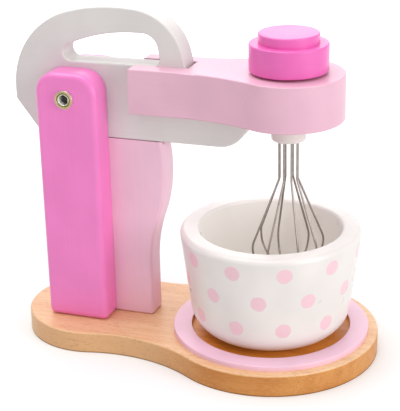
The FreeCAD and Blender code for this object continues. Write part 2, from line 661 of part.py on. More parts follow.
def make_base_screws():
    """Six countersunk screws driven up through the base into the posts and the column."""
    screws = []
    for number, (x, y) in enumerate(SCREW_PLACES, start=1):
        shank = doc.addObject("Part::Cylinder", f"screw_shank_{number}")
        bind(shank, "Radius", "screw_radius")
        bind(shank, "Height", "screw_length - screw_sink")
        head = doc.addObject("Part::Cone", f"screw_head_{number}")
        bind(head, "Radius1", "screw_head_radius")
        bind(head, "Radius2", "screw_radius")
        bind(head, "Height", "screw_head_radius - screw_radius")
        for solid in (shank, head):
            for axis, text in zip("xyz", (x, y, "screw_sink")):
                bind(solid, f"Placement.Base.{axis}", text)
        screw = doc.addObject("Part::Fuse", f"screw_{number}")
        screw.Base, screw.Tool = shank, head
        screws.append(screw)
    group = doc.addObject("Part::Compound", "base_screws")
    group.Label = "base_screws"
    group.Links = screws
    return group


def hexagon(sketch):
    """A hexagon for a hex key, about the sketch's origin."""
    half, rise = "hex_across_flats / 2", "hex_across_flats / sqrt(12)"
    corners = [(half, rise), ("0", f"2 * {rise}"), (f"(-{half})", rise),
               (f"(-{half})", f"(-{rise})"), ("0", f"(-2 * {rise})"), (half, f"(-{rise})")]
    draw_loop(sketch, corners)


def turned_pin(label, side, profile, socket_level):
    """A turned fastener across the pivot with a hex socket in its head."""
    body = new_body(label, x=PIVOT_X, z=PIVOT_Z)
    section = new_sketch(body, label + "Section")
    draw_loop(section, profile)
    revolve(body, section)
    level = value(socket_level)
    fillet(body, label + "HeadRound", "bolt_head_round",
           flat_at("y", level, lambda edge: edge.BoundBox.XLength > value("bolt_head_round")))
    doc.recompute()
    socket = new_sketch(body, label + "Socket", "XZ_Plane", f"(-({socket_level}))")
    hexagon(socket)
    pocket(body, socket, "hex_depth", reverse=side > 0)
    return body


POST_FACE = "(column_thickness / 2 + post_thickness)"
HEAD_FACE = f"({POST_FACE} + bolt_head_proud)"
HEAD_SEAT = f"({HEAD_FACE} - bolt_head_height)"
SHANK_END = "(column_thickness / 2 + joint_clearance)"
THREAD_END = "(column_thickness / 2 + thread_length)"


def make_pivot_bolt():
    """The bolt from the near side; its plain shank is the head's pivot."""
    return turned_pin("pivot_bolt", -1, [
        ("0", f"(-{HEAD_FACE})"), ("bolt_head_radius", f"(-{HEAD_FACE})"),
        ("bolt_head_radius", f"(-{HEAD_SEAT})"), ("pin_radius", f"(-{HEAD_SEAT})"),
        ("pin_radius", SHANK_END), ("thread_radius", SHANK_END), ("thread_radius", THREAD_END),
        ("0", THREAD_END)], f"(-{HEAD_FACE})")


def make_pivot_nut():
    """The sleeve nut from the far side, screwed on the bolt's thread."""
    start = f"({SHANK_END} + joint_clearance)"
    end = f"({THREAD_END} + nut_bore_spare)"
    return turned_pin("pivot_nut", 1, [
        ("0", HEAD_FACE), ("bolt_head_radius", HEAD_FACE), ("bolt_head_radius", HEAD_SEAT),
        ("pin_radius", HEAD_SEAT), ("pin_radius", start),
        ("thread_radius + pin_clearance", start),
        ("thread_radius + pin_clearance", end), ("0", end)], HEAD_FACE)


def turned(label, level, section, rounds, x="spin_offset"):
    """A turned piece on an upright axis; rounds are (radius, level, circle radius) of its edges."""
    body = new_body(label, x=x, z=level)
    sketch = new_sketch(body, label + "Section", "XZ_Plane")
    draw_loop(sketch, section)
    revolve(body, sketch)
    for number, (radius, height, reach) in enumerate(rounds, start=1):
        fillet(body, f"{label}Round{number}", radius, flat_at(
            "z", value(height), lambda edge, reach=reach: abs(edge.BoundBox.XMax - value(reach)) < 0.1))
    return body


def make_knob_disc():
    """The knob's wide lower disc, bored from below for the shaft."""
    bore = "(shaft_radius + joint_clearance)"
    depth = "(shaft_knob_depth + joint_clearance)"
    return turned("knob_disc", KNOB_BOTTOM, [
        (bore, "0"), ("knob_radius", "0"), ("knob_radius", "knob_thickness"), ("0", "knob_thickness"),
        ("0", depth), (bore, depth)],
        [("knob_edge_round", "0", "knob_radius"), ("knob_edge_round", "knob_thickness", "knob_radius")])


def make_knob_cap():
    """The knob's small upper disc, glued on."""
    return turned("knob_cap", f"({KNOB_BOTTOM} + knob_thickness)", [
        ("0", "0"), ("cap_radius", "0"), ("cap_radius", "cap_thickness"), ("0", "cap_thickness")],
        [("knob_edge_round", "cap_thickness", "cap_radius")])


def make_drive_shaft():
    """The round shaft that joins the knob and the whisk hub through the arm."""
    low = f"({HUB_TOP} - shaft_hub_depth)"
    return turned("drive_shaft", low, [
        ("0", "0"), ("shaft_radius", "0"),
        ("shaft_radius", f"{KNOB_BOTTOM} + shaft_knob_depth - {low}"),
        ("0", f"{KNOB_BOTTOM} + shaft_knob_depth - {low}")], [])


def make_washer(label, level):
    """A flat washer round the shaft."""
    bore = "(shaft_radius + joint_clearance)"
    return turned(label, level, [
        (bore, "0"), ("washer_radius", "0"), ("washer_radius", "washer_thickness"),
        (bore, "washer_thickness")], [])


def make_whisk_hub():
    """The white hub, bored above for the shaft and below for the eight wire ends."""
    bore = "(shaft_radius + joint_clearance)"
    depth = "(shaft_hub_depth + joint_clearance)"
    body = turned("whisk_hub", HUB_BOTTOM, [
        ("0", "0"), ("hub_radius", "0"), ("hub_radius", "hub_height"), (bore, "hub_height"),
        (bore, f"hub_height - {depth}"), ("0", f"hub_height - {depth}")],
        [("hub_edge_round", "0", "hub_radius")])
    doc.recompute()
    seat = new_sketch(body, "WireSeat")
    draw_circle(seat, "wire_circle_radius", "0", "wire_radius + wire_clearance")
    hole = pocket(body, seat, "wire_seat_depth + wire_clearance", reverse=True)
    pattern = body.newObject("PartDesign::PolarPattern", "WireSeats")
    pattern.Originals = [hole]
    pattern.Axis = (seat, ["N_Axis"])
    pattern.Angle = 360
    pattern.Occurrences = 2 * WIRE_LOOPS
    body.Placement.Rotation = FreeCAD.Rotation(Vector(0, 0, 1), 1)
    bind(body, "Placement.Rotation.Angle", "whisk_rest_angle")
    body.Tip = pattern
    return body


def whisk_path(sketch, lift):
    """One wire loop about its middle line, from its seats in the hub down to the bottom bend.

    Each half runs straight down, bends outwards, runs straight to a shoulder that turns it down
    at the widest level, and turns in round a cheek that meets the wide bottom arc.
    """
    waist_text = f"({lift} - whisk_waist_drop)"
    cup_text = f"({lift} - whisk_length + whisk_bottom_radius)"
    circle, wide, bend, shoulder, cup = (value(name) for name in (
        "wire_circle_radius", "whisk_radius", "wire_bend_radius", "whisk_shoulder_radius",
        "whisk_bottom_radius"))
    waist, straight = value(waist_text), -value("wire_straight")
    neck = Vector(circle + bend, straight, 0)
    swell = Vector(wide - shoulder, waist, 0)
    away = swell - neck
    lean = math.atan2(away.y, away.x) - math.acos((bend + shoulder) / away.Length)
    outward = Vector(math.cos(lean), math.sin(lean), 0)
    join, leave = neck + outward * bend, swell - outward * shoulder
    cup_centre = Vector(0, value(cup_text), 0)
    rise = waist - cup_centre.y
    cheek = (wide**2 - cup**2 + rise**2) / (2 * (wide - cup))
    cheek_centre = Vector(wide - cheek, waist, 0)
    turn = towards(cup_centre, cheek_centre, cup)
    for side in (1, -1):
        def at(point):
            return Vector(side * point.x, point.y, 0)
        upper, lower = Vector(circle, value("wire_seat_depth"), 0), Vector(circle, straight, 0)
        sketch.addGeometry(Part.LineSegment(at(upper), at(lower)))
        for centre, radius, start, end in (
                (neck, bend, lower, join), (swell, shoulder, Vector(wide, waist, 0), leave),
                (cheek_centre, cheek, turn, Vector(wide, waist, 0))):
            first, last = (start, end) if side > 0 else (end, start)
            sketch.addGeometry(arc(at(centre), radius, at(first), at(last)))
            if centre is neck:
                sketch.addGeometry(Part.LineSegment(at(join), at(leave)))
    sketch.addGeometry(arc(cup_centre, cup, Vector(-turn.x, turn.y, 0), turn))
    for first, begin, finish, sign in ((0, 1, 2, ""), (5, 2, 1, "-")):
        pin(sketch, first, 1, f"({sign}wire_circle_radius)", "wire_seat_depth")
        pin(sketch, first, 2, f"({sign}wire_circle_radius)", "(-wire_straight)")
        tangent(sketch, first, 2, first + 1, begin)
        dimension(sketch, "Radius", first + 1, text="wire_bend_radius")
        tangent(sketch, first + 1, finish, first + 2, 1)
        tangent(sketch, first + 2, 2, first + 3, finish)
        dimension(sketch, "Radius", first + 3, text="whisk_shoulder_radius")
        pin(sketch, first + 3, begin, f"({sign}whisk_radius)", waist_text)
        dimension(sketch, "DistanceY", -1, 1, first + 3, 3, text=waist_text)
        tangent(sketch, first + 3, begin, first + 4, finish)
        tangent(sketch, first + 4, begin, 10, finish)
    sketch.addConstraint(Sketcher.Constraint("PointOnObject", 10, 3, -2))
    dimension(sketch, "DistanceY", -1, 1, 10, 3, text=cup_text)
    dimension(sketch, "Radius", 10, text="whisk_bottom_radius")


def make_whisk_loop(number):
    """One wire loop; the loops cross at the bottom, each a little deeper than the last."""
    label = f"whisk_loop_{number}"
    lift = f"({WIRE_LOOPS - number} * wire_stack_step)"
    body = new_body(label, x="spin_offset", z=HUB_BOTTOM)
    body.Placement.Rotation = FreeCAD.Rotation(Vector(0, 0, 1), 1)
    bind(body, "Placement.Rotation.Angle", f"whisk_rest_angle + {number - 1} * 180 / {WIRE_LOOPS}")
    path = new_sketch(body, label + "Path", "XZ_Plane")
    whisk_path(path, lift)
    section = new_sketch(body, label + "Section", "XY_Plane", "wire_seat_depth")
    draw_circle(section, "wire_circle_radius", "0", "wire_radius")
    doc.recompute()
    pipe = body.newObject("PartDesign::AdditivePipe", label + "Pipe")
    pipe.Profile = section
    pipe.Spine = (path, [f"Edge{i}" for i in range(1, 12)])
    pipe.Mode = "Frenet"
    pipe.Transition = "Transformed"
    return body


def build():
    """Every piece of the mixer."""
    pieces = [
        make_base_board(), make_bowl_ring(), make_post("left_post", -1), make_post("right_post", 1),
        make_column(),
        make_pins("column_dowels", [(PIVOT_X, "base_thickness + column_dowel_low"),
                                    (PIVOT_X, "base_thickness + column_dowel_high")],
                  "dowel_radius", "column_thickness + 2 * column_dowel_depth"),
        make_base_screws(), make_pivot_bolt(), make_pivot_nut(), make_head_board(), make_mixer_arm(),
        make_pins("arm_dowels", [(f"{PIVOT_X} + {along}", f"{PIVOT_Z} + {ARM_MIDDLE}")
                                 for along in ARM_DOWEL_PLACES],
                  "arm_dowel_radius", "board_thickness + 2 * arm_dowel_depth"),
        make_knob_disc(), make_knob_cap(), make_drive_shaft(),
        make_washer("knob_washer", f"({ARM_TOP} + washer_gap)"), make_washer("hub_washer", HUB_TOP),
        make_whisk_hub(), make_bowl()]
    pieces += [make_whisk_loop(number) for number in range(1, WIRE_LOOPS + 1)]
    return pieces


def check_and_export(pieces):
    """Stop on any failed feature or shape, then write one file for each piece."""
    doc.recompute()
    for item in doc.Objects:
        if {"Invalid", "Error"} & set(item.State):
            raise ValueError(f"{item.Name} failed: {item.State}")
    os.makedirs("parts", exist_ok=True)
    for piece in pieces:
        if piece.Shape.isNull() or not piece.Shape.isValid() or not piece.Shape.Solids:
            raise ValueError(f"{piece.Label} has no valid solid")
        piece.Shape.exportStep(f"parts/{piece.Label}.step")
        print(f"{piece.Label:14s} {len(piece.Shape.Solids)} solids {piece.Shape.Volume:9.0f} mm3")


check_and_export(build())
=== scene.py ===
"""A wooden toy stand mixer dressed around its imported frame.

The frame gives the boards, the joints and the fastener places. This script adds the turned
pieces, the rounded posts, the column with its eased foot, the whisk's wires, the hardware and
every finish, and sets them in a plain studio. All lengths are in metres, in the frame's own axes.
"""

from __future__ import annotations

import json
import logging
import math
from dataclasses import dataclass, field, replace
from enum import Enum
from typing import Callable, Sequence

import bmesh
import bpy
from mathutils import Matrix, Vector

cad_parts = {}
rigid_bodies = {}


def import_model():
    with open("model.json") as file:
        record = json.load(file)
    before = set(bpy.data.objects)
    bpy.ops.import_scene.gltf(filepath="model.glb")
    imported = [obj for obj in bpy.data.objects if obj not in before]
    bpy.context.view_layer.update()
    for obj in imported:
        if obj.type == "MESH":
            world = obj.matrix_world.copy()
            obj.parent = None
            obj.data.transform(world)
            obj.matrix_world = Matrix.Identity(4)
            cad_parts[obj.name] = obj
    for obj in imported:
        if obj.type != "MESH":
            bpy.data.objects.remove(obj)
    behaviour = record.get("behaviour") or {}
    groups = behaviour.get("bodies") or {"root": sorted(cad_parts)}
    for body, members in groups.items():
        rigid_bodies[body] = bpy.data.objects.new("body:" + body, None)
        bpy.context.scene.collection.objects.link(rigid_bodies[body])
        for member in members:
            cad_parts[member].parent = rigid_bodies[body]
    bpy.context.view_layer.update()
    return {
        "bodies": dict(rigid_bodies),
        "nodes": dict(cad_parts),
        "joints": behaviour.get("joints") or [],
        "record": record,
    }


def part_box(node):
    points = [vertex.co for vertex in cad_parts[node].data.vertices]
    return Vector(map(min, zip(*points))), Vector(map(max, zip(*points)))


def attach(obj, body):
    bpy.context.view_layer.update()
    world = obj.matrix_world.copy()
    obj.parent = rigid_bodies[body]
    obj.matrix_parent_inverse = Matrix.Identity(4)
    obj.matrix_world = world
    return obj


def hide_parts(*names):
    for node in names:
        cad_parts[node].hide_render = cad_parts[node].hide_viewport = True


LOG = logging.getLogger("mixer")

Socket = bpy.types.NodeSocket
Colour = tuple[float, float, float]
Radius = float | Callable[[float], float]
Ring = tuple[Radius, float]

# Where nearly all of a noise texture's values lie, and where most of them do.
NOISE_SPREAD = (0.3, 0.7)
NOISE_MIDDLE = (0.35, 0.65)

# A normal's z where a face begins to look down, and where it counts as doing so.
LOOKING_DOWN = (-0.5, -0.9)

# How close points count as one, or as on a level, and how far an edge turns to be flat or a corner.
MERGE_WITHIN = 1e-6
LEVEL_WITHIN = 1e-5
FLAT_WITHIN = math.radians(0.3)
CORNER_FROM = math.radians(60.0)


class Grain(Enum):
    """The axis that a board's fibres run along."""

    ALONG_X = 0
    ALONG_Y = 1
    ALONG_Z = 2

    def stretch(self, across: float, along: float) -> tuple[float, ...]:
        """Texture scale for lines that run with the fibres.

        Args:
            across: pattern repeats per metre across the fibres.
            along: pattern repeats per metre along them.

        Returns:
            The scale on x, y and z.
        """
        return tuple(along if axis == self.value else across for axis in range(3))


def shaded(colour: Colour, factor: float, lift: float = 0.0) -> Colour:
    """A colour made darker or paler."""
    return tuple(min(part * factor + lift, 1.0) for part in colour)


class NodeSheet:
    """Adds nodes to a tree and joins them up."""

    def __init__(self, tree: bpy.types.NodeTree) -> None:
        """Keep the tree."""
        self.tree = tree

    def add(self, kind: str, inputs: dict[str | int, object] | None = None,
            **settings: object) -> bpy.types.Node:
        """Add a node.

        Args:
            kind: the node's type name.
            inputs: values or sockets by input name or number.
            settings: properties to set on the node.

        Returns:
            The node.
        """
        node = self.tree.nodes.new(kind)
        for name, value in settings.items():
            setattr(node, name, value)
        self.feed(node, inputs or {})
        return node

    def feed(self, node: bpy.types.Node, inputs: dict[str | int, object]) -> None:
        """Set a node's inputs.

        Args:
            node: the node.
            inputs: values or sockets by input name or number.
        """
        for key, value in inputs.items():
            if isinstance(value, Socket):
                self.tree.links.new(value, node.inputs[key])
            else:
                node.inputs[key].default_value = value

    def maths(self, operation: str, *values: float | Socket, clamp: bool = False) -> Socket:
        """A Math node's result."""
        return self.add("ShaderNodeMath", dict(enumerate(values)), operation=operation,
                        use_clamp=clamp).outputs[0]

    def product(self, first: float | Socket, second: float | Socket) -> Socket:
        """One value times another."""
        return self.maths("MULTIPLY", first, second)

    def reach(self, first: Socket, second: Socket) -> Socket:
        """The distance that two lengths at right angles make."""
        return self.maths("SQRT", self.maths("ADD", self.product(first, first),
                                             self.product(second, second)))

    def parts(self, vector: Socket) -> Sequence[Socket]:
        """A vector's x, y and z."""
        return self.add("ShaderNodeSeparateXYZ", {0: vector}).outputs

    def band(self, value: Socket, low: float, high: float, start: float = 0.0, end: float = 1.0) -> Socket:
        """Map a value smoothly from one range to another."""
        return self.add("ShaderNodeMapRange", {0: value, 1: low, 2: high, 3: start, 4: end},
                        interpolation_type="SMOOTHSTEP").outputs[0]

    def noise(self, place: Socket, scale: float, detail: float = 3.0, rough: float = 0.5) -> Socket:
        """A noise texture's value."""
        return self.add("ShaderNodeTexNoise", {"Vector": place, "Scale": scale, "Detail": detail,
                                               "Roughness": rough}).outputs[0]

    def lines(self, place: Socket, scale: Sequence[float], detail: float, rough: float = 0.5) -> Socket:
        """A noise texture's value, stretched by axis."""
        stretched = self.add("ShaderNodeMapping", {"Vector": place, "Scale": tuple(scale)}).outputs[0]
        return self.noise(stretched, 1.0, detail, rough)

    def mixed(self, share: float | Socket, first: Colour | Socket, second: Colour | Socket) -> Socket:
        """A blend of two colours, all second where the share is 1."""
        ends = [end if isinstance(end, Socket) else (*end, 1.0) for end in (first, second)]
        return self.add("ShaderNodeMix", {0: share, 6: ends[0], 7: ends[1]}, data_type="RGBA").outputs[2]

    def bump(self, height: Socket, depth: float) -> Socket:
        """A surface's tilt from a height of 0 to 1."""
        return self.add("ShaderNodeBump", {"Height": height, "Distance": depth, "Strength": 1.0}).outputs[0]


@dataclass(frozen=True)
class Finish:
    """A finish and the record's slot that it belongs to.

    In the finishes, a scale is in repeats per metre, and a pair of scales is across the fibres and
    along them. A pair called reach, level, along, depth, between, blend or half is where a change
    begins and where it is full.
    """

    name: str
    slot: str

    def material(self) -> bpy.types.Material:
        """The finish's material, made once.

        Returns:
            The material, the same one at every call.
        """
        made = bpy.data.materials.get(self.name)
        if made:
            return made
        made = bpy.data.materials.new(self.name)
        made.use_nodes = True
        made.node_tree.nodes.clear()
        sheet = NodeSheet(made.node_tree)
        place = sheet.add("ShaderNodeTexCoord").outputs["Object"]
        shader = sheet.add("ShaderNodeBsdfPrincipled")
        self.dress(sheet, shader, place)
        sheet.add("ShaderNodeOutputMaterial", {"Surface": shader.outputs[0]})
        return made

    def dress(self, sheet: NodeSheet, shader: bpy.types.Node, place: Socket) -> None:
        """Wire the finish's own nodes into the shader."""
        raise NotImplementedError


@dataclass(frozen=True)
class PaintedWood(Finish):
    """Satin paint, with the board's fibres showing faintly through it."""

    colour: Colour = (0.8, 0.8, 0.8)
    grain: Grain = Grain.ALONG_X
    roughness: float = 0.36
    gloss_coat: float = 0.12
    coat_roughness: float = 0.25
    telegraph: float = 0.20
    tone_scale: float = 26.0
    fibre_scale: tuple[float, float] = (900.0, 22.0)
    peel_scale: float = 950.0
    peel_share: float = 0.30
    relief: float = 0.00006
    sheen_play: tuple[float, float] = (-0.03, 0.05)
    deepest: float = 0.955
    palest: float = 1.02
    lift: float = 0.004

    def dress(self, sheet: NodeSheet, shader: bpy.types.Node, place: Socket) -> None:
        """Paint tone, a spray's fine unevenness and the fibres' low relief.

        Args:
            sheet: the material's nodes.
            shader: the shader to feed.
            place: the piece's own coordinates.
        """
        tone = sheet.noise(place, self.tone_scale, 2.0)
        fibres = sheet.lines(place, self.grain.stretch(*self.fibre_scale), 4.0, 0.6)
        peel = sheet.noise(place, self.peel_scale, 2.0)
        height = sheet.maths("MULTIPLY_ADD", fibres, self.telegraph, sheet.product(peel, self.peel_share))
        rough = [self.roughness + play for play in self.sheen_play]
        sheet.feed(shader, {
            "Base Color": self.tinted(sheet, place, tone, fibres),
            "Roughness": sheet.band(tone, *NOISE_SPREAD, *rough),
            "Coat Weight": self.gloss_coat, "Coat Roughness": self.coat_roughness,
            "Normal": sheet.bump(height, self.relief)})

    def tinted(self, sheet: NodeSheet, place: Socket, tone: Socket, fibres: Socket) -> Socket:
        """The paint's colour with its slight unevenness.

        Args:
            sheet: the material's nodes.
            place: the piece's own coordinates; not used here.
            tone: broad tone from 0 to 1.
            fibres: fibre lines from 0 to 1.

        Returns:
            The colour.
        """
        share = sheet.maths("MULTIPLY_ADD", fibres, self.telegraph,
                            sheet.product(tone, 1.0 - self.telegraph))
        return sheet.mixed(sheet.band(share, *NOISE_MIDDLE), shaded(self.colour, self.deepest),
                           shaded(self.colour, self.palest, self.lift))


@dataclass(frozen=True)
class DottedPaint(PaintedWood):
    """Off-white paint with staggered rows of round dots on the bowl's outer wall."""

    dot_colour: Colour = (0.93, 0.60, 0.68)
    dots_round: int = 11
    first_turn: float = math.radians(-97.9)
    first_height: float = 0.0793
    row_step: float = 0.0207
    dot_radius: float = 0.0053
    dot_blend: tuple[float, float] = (0.0003, -0.0004)
    wobble: float = 0.0010
    wobble_scale: float = 330.0
    streak_scale: float = 620.0
    streaks_between: tuple[float, float] = (0.25, 0.65)
    thinnest: float = 0.80
    wall_from: float = 0.0505
    lowest_row: float = 0.0280
    # A paler colour for the bowl's inside: painted light in the hollow.
    inside_light_colour: Colour = (0.995, 0.960, 0.915)
    inside_light_reach: tuple[float, float] = (0.0493, 0.0487)
    inside_light_level: tuple[float, float] = (0.020, 0.022)

    def tinted(self, sheet: NodeSheet, place: Socket, tone: Socket, fibres: Socket) -> Socket:
        """The paint, dotted on its outer wall and painted paler inside the bowl as painted light in the
        hollow.

        Args:
            sheet: the material's nodes.
            place: the piece's own coordinates.
            tone: broad tone from 0 to 1.
            fibres: fibre lines from 0 to 1.

        Returns:
            The colour.
        """
        axes = sheet.parts(place)
        reach = sheet.reach(axes[0], axes[1])
        # Painted light: inside the mouth and above the lowest part, the bowl takes the paler colour.
        inside_light = sheet.product(sheet.band(reach, *self.inside_light_reach), sheet.band(axes[2], *self.inside_light_level))
        ground = sheet.mixed(inside_light, super().tinted(sheet, place, tone, fibres), self.inside_light_colour)
        wall = sheet.product(sheet.maths("GREATER_THAN", reach, self.wall_from),
                             sheet.maths("GREATER_THAN", axes[2], self.lowest_row))
        streaks = sheet.noise(place, self.streak_scale, 3.0, 0.6)
        strength = sheet.band(streaks, *self.streaks_between, self.thinnest, 1.0)
        dots = sheet.product(self.dots(sheet, place, axes, reach), wall)
        return sheet.mixed(sheet.product(dots, strength), ground, self.dot_colour)

    def dots(self, sheet: NodeSheet, place: Socket, axes: Sequence[Socket], reach: Socket) -> Socket:
        """Rows of dots, every second row half a step on, slightly uneven at their rims.

        Args:
            sheet: the material's nodes.
            place: the piece's own coordinates.
            axes: their x, y and z.
            reach: the distance from the bowl's axis.

        Returns:
            1 in a dot and 0 between the dots.
        """
        step = 2 * math.pi / self.dots_round
        turn = sheet.maths("SUBTRACT", sheet.maths("ARCTAN2", axes[1], axes[0]), self.first_turn)
        row = sheet.maths("DIVIDE", sheet.maths("SUBTRACT", axes[2], self.first_height), self.row_step)
        level = sheet.maths("ROUND", row)
        stagger = sheet.product(sheet.maths("FLOORED_MODULO", level, 2.0), 0.5)
        column = sheet.maths("ADD", sheet.maths("DIVIDE", turn, step), stagger)
        off_turn = sheet.product(sheet.maths("SUBTRACT", column, sheet.maths("ROUND", column)), step)
        across = sheet.product(off_turn, reach)
        along = sheet.product(sheet.maths("SUBTRACT", row, level), self.row_step)
        uneven = sheet.noise(place, self.wobble_scale, 2.0)
        away = sheet.maths("MULTIPLY_ADD", uneven, self.wobble, sheet.reach(across, along))
        edge = self.dot_radius + self.wobble / 2
        return sheet.band(away, *(edge + blend for blend in self.dot_blend))


@dataclass(frozen=True)
class Beech(Finish):
    """Lacquered beech: fine fibres, broad soft bands and short dark flecks."""

    grain: Grain = Grain.ALONG_X
    pale: Colour = (0.91, 0.605, 0.355)
    deep: Colour = (0.80, 0.46, 0.23)
    side_pale: Colour = (0.75, 0.345, 0.100)
    side_deep: Colour = (0.59, 0.225, 0.055)
    # Colour of the painted sheen that pales the left end of the side.
    painted_sheen: Colour = (0.86, 0.54, 0.29)
    # Wood inside the ring, darker and more saturated than the top: painted shade under the bowl and the ring.
    sunk_shade_pale: Colour = (0.90, 0.36, 0.060)
    sunk_shade_deep: Colour = (0.66, 0.22, 0.022)
    # Colour of the painted contact shadow along the lower edge of the side.
    foot_shadow_colour: Colour = (0.13, 0.040, 0.008)
    fleck_tone: float = 0.64
    top_level: tuple[float, float] = (0.0138, 0.0147)
    sunk_reach: tuple[float, float] = (0.0554, 0.0558)
    painted_sheen_reach: tuple[float, float] = (0.0554, 0.0654)
    painted_sheen_along: tuple[float, float] = (-0.020, -0.080)
    foot_shadow_level: tuple[float, float] = (0.00110, 0.00044)
    drift_scale: tuple[float, float] = (30.0, 7.0)
    band_scale: tuple[float, float] = (120.0, 5.0)
    fibre_scale: tuple[float, float] = (1250.0, 34.0)
    fleck_scale: tuple[float, float] = (1100.0, 240.0)
    tone_between: tuple[float, float] = (0.36, 0.64)
    flecks_between: tuple[float, float] = (0.56, 0.68)
    drift_share: float = 0.22
    band_share: float = 0.38
    fibre_share: float = 0.40
    fleck_share: float = 0.36
    painted_sheen_share: float = 0.75
    foot_shadow_share: float = 0.62
    pore_depth: float = 0.5
    relief: float = 0.00005
    roughness: tuple[float, float] = (0.46, 0.36)
    side_shine: float = 0.25
    top_shine: float = 0.50
    lacquer: float = 0.06
    lacquer_roughness: float = 0.3

    def dress(self, sheet: NodeSheet, shader: bpy.types.Node, place: Socket) -> None:
        """Bands, fibres, flecks and open pores under a thin lacquer, with a painted contact shadow along the
        side's lower edge.

        Args:
            sheet: the material's nodes.
            shader: the shader to feed.
            place: the piece's own coordinates.
        """
        drift = sheet.lines(place, self.grain.stretch(*self.drift_scale), 2.0)
        bands = sheet.lines(place, self.grain.stretch(*self.band_scale), 3.0, 0.55)
        fibres = sheet.lines(place, self.grain.stretch(*self.fibre_scale), 5.0, 0.62)
        broad = sheet.maths("ADD", sheet.product(bands, self.band_share),
                            sheet.product(drift, self.drift_share))
        share = sheet.maths("MULTIPLY_ADD", fibres, self.fibre_share, broad)
        spots = sheet.lines(place, self.grain.stretch(*self.fleck_scale), 2.0)
        flecks = sheet.band(spots, *self.flecks_between)
        axes = sheet.parts(place)
        upper = sheet.band(axes[2], *self.top_level)
        facing = sheet.parts(sheet.add("ShaderNodeTexCoord").outputs["Normal"])
        under = sheet.band(facing[2], *LOOKING_DOWN)
        ground = self.ground(sheet, axes, sheet.band(share, *self.tone_between), upper, under)
        colour = sheet.mixed(sheet.product(flecks, self.fleck_share), ground,
                             shaded(self.side_pale, self.fleck_tone))
        # Painted contact shadow: the side darkens over its lowest millimetre towards the floor.
        foot = sheet.product(sheet.band(axes[2], *self.foot_shadow_level, 0.0, self.foot_shadow_share),
                             sheet.maths("SUBTRACT", 1.0, under))
        height = sheet.maths("SUBTRACT", fibres, sheet.product(flecks, self.pore_depth))
        sheet.feed(shader, {
            "Base Color": sheet.mixed(foot, colour, self.foot_shadow_colour),
            "Roughness": sheet.band(fibres, *NOISE_SPREAD, *self.roughness),
            "Specular IOR Level": sheet.maths("MULTIPLY_ADD", upper, self.top_shine - self.side_shine,
                                              self.side_shine),
            "Coat Weight": self.lacquer, "Coat Roughness": self.lacquer_roughness,
            "Normal": sheet.bump(height, self.relief)})

    def ground(self, sheet: NodeSheet, axes: Sequence[Socket], tone: Socket, upper: Socket,
               under: Socket) -> Socket:
        """The wood's colour by place: planed faces, the sawn side with a painted sheen that pales its left
        end, and a darker painted shade inside the ring.

        Args:
            sheet: the material's nodes.
            axes: the piece's own x, y and z.
            tone: from 0 in deep wood to 1 in pale wood.
            upper: 1 at the top's level.
            under: 1 on faces that look down.

        Returns:
            The colour.
        """
        reach = sheet.reach(axes[0], axes[1])
        outside = sheet.band(reach, *self.sunk_reach)
        # Painted sheen: the side turns paler and less saturated towards its left end, standing in for light
        # that the lacquer catches.
        painted_sheen = sheet.product(sheet.band(axes[0], *self.painted_sheen_along),
                                sheet.band(reach, *self.painted_sheen_reach))
        side = sheet.mixed(sheet.product(painted_sheen, self.painted_sheen_share),
                           sheet.mixed(tone, self.side_deep, self.side_pale), self.painted_sheen)
        # Inside the ring the wood takes the painted shade colours.
        side = sheet.mixed(outside, sheet.mixed(tone, self.sunk_shade_deep, self.sunk_shade_pale), side)
        planed = sheet.maths("MAXIMUM", sheet.product(upper, outside), under)
        return sheet.mixed(planed, side, sheet.mixed(tone, self.deep, self.pale))


@dataclass(frozen=True)
class RingPaint(PaintedWood):
    """Paint on a ring's top and outer wall that leaves its inner wall bare wood."""

    bare: Colour = (0.62, 0.33, 0.15)
    bare_palest: float = 1.2
    bare_reach: tuple[float, float] = (0.05555, 0.05530)
    ragged: float = 0.0003
    ragged_scale: float = 700.0

    def tinted(self, sheet: NodeSheet, place: Socket, tone: Socket, fibres: Socket) -> Socket:
        """Paint, and bare wood close to the bowl's axis.

        Args:
            sheet: the material's nodes.
            place: the piece's own coordinates.
            tone: broad tone from 0 to 1.
            fibres: fibre lines from 0 to 1.

        Returns:
            The colour.
        """
        axes = sheet.parts(place)
        reach = sheet.maths("MULTIPLY_ADD", sheet.noise(place, self.ragged_scale), self.ragged,
                            sheet.reach(axes[0], axes[1]))
        wood = sheet.mixed(fibres, self.bare, shaded(self.bare, self.bare_palest))
        return sheet.mixed(sheet.band(reach, *self.bare_reach), super().tinted(sheet, place, tone, fibres),
                           wood)


@dataclass(frozen=True)
class Metal(Finish):
    """Drawn, turned or plated steel with a faint cloud in its tone."""

    colour: Colour = (0.6, 0.6, 0.6)
    second: Colour = (0.5, 0.5, 0.5)
    roughness: float = 0.3
    cloud_scale: float = 320.0
    mark_scale: float = 900.0
    smoothest: float = 0.85
    roughest: float = 1.25
    relief: float = 0.00002

    def dress(self, sheet: NodeSheet, shader: bpy.types.Node, place: Socket) -> None:
        """The metal's own colour, and fine tool marks.

        Args:
            sheet: the material's nodes.
            shader: the shader to feed.
            place: the piece's own coordinates.
        """
        colour, metallic = self.plated(sheet, place)
        marks = sheet.noise(place, self.mark_scale, 2.0)
        sheet.feed(shader, {
            "Base Color": colour, "Metallic": metallic,
            "Roughness": sheet.band(marks, *NOISE_SPREAD, self.roughness * self.smoothest,
                                    self.roughness * self.roughest),
            "Normal": sheet.bump(marks, self.relief)})

    def plated(self, sheet: NodeSheet, place: Socket) -> tuple[Socket, float | Socket]:
        """Two tones clouded into each other.

        Args:
            sheet: the material's nodes.
            place: the piece's own coordinates.

        Returns:
            The colour, and how metallic it is from 0 to 1.
        """
        cloud = sheet.noise(place, self.cloud_scale, 3.0)
        return sheet.mixed(sheet.band(cloud, *NOISE_MIDDLE), self.colour, self.second), 1.0


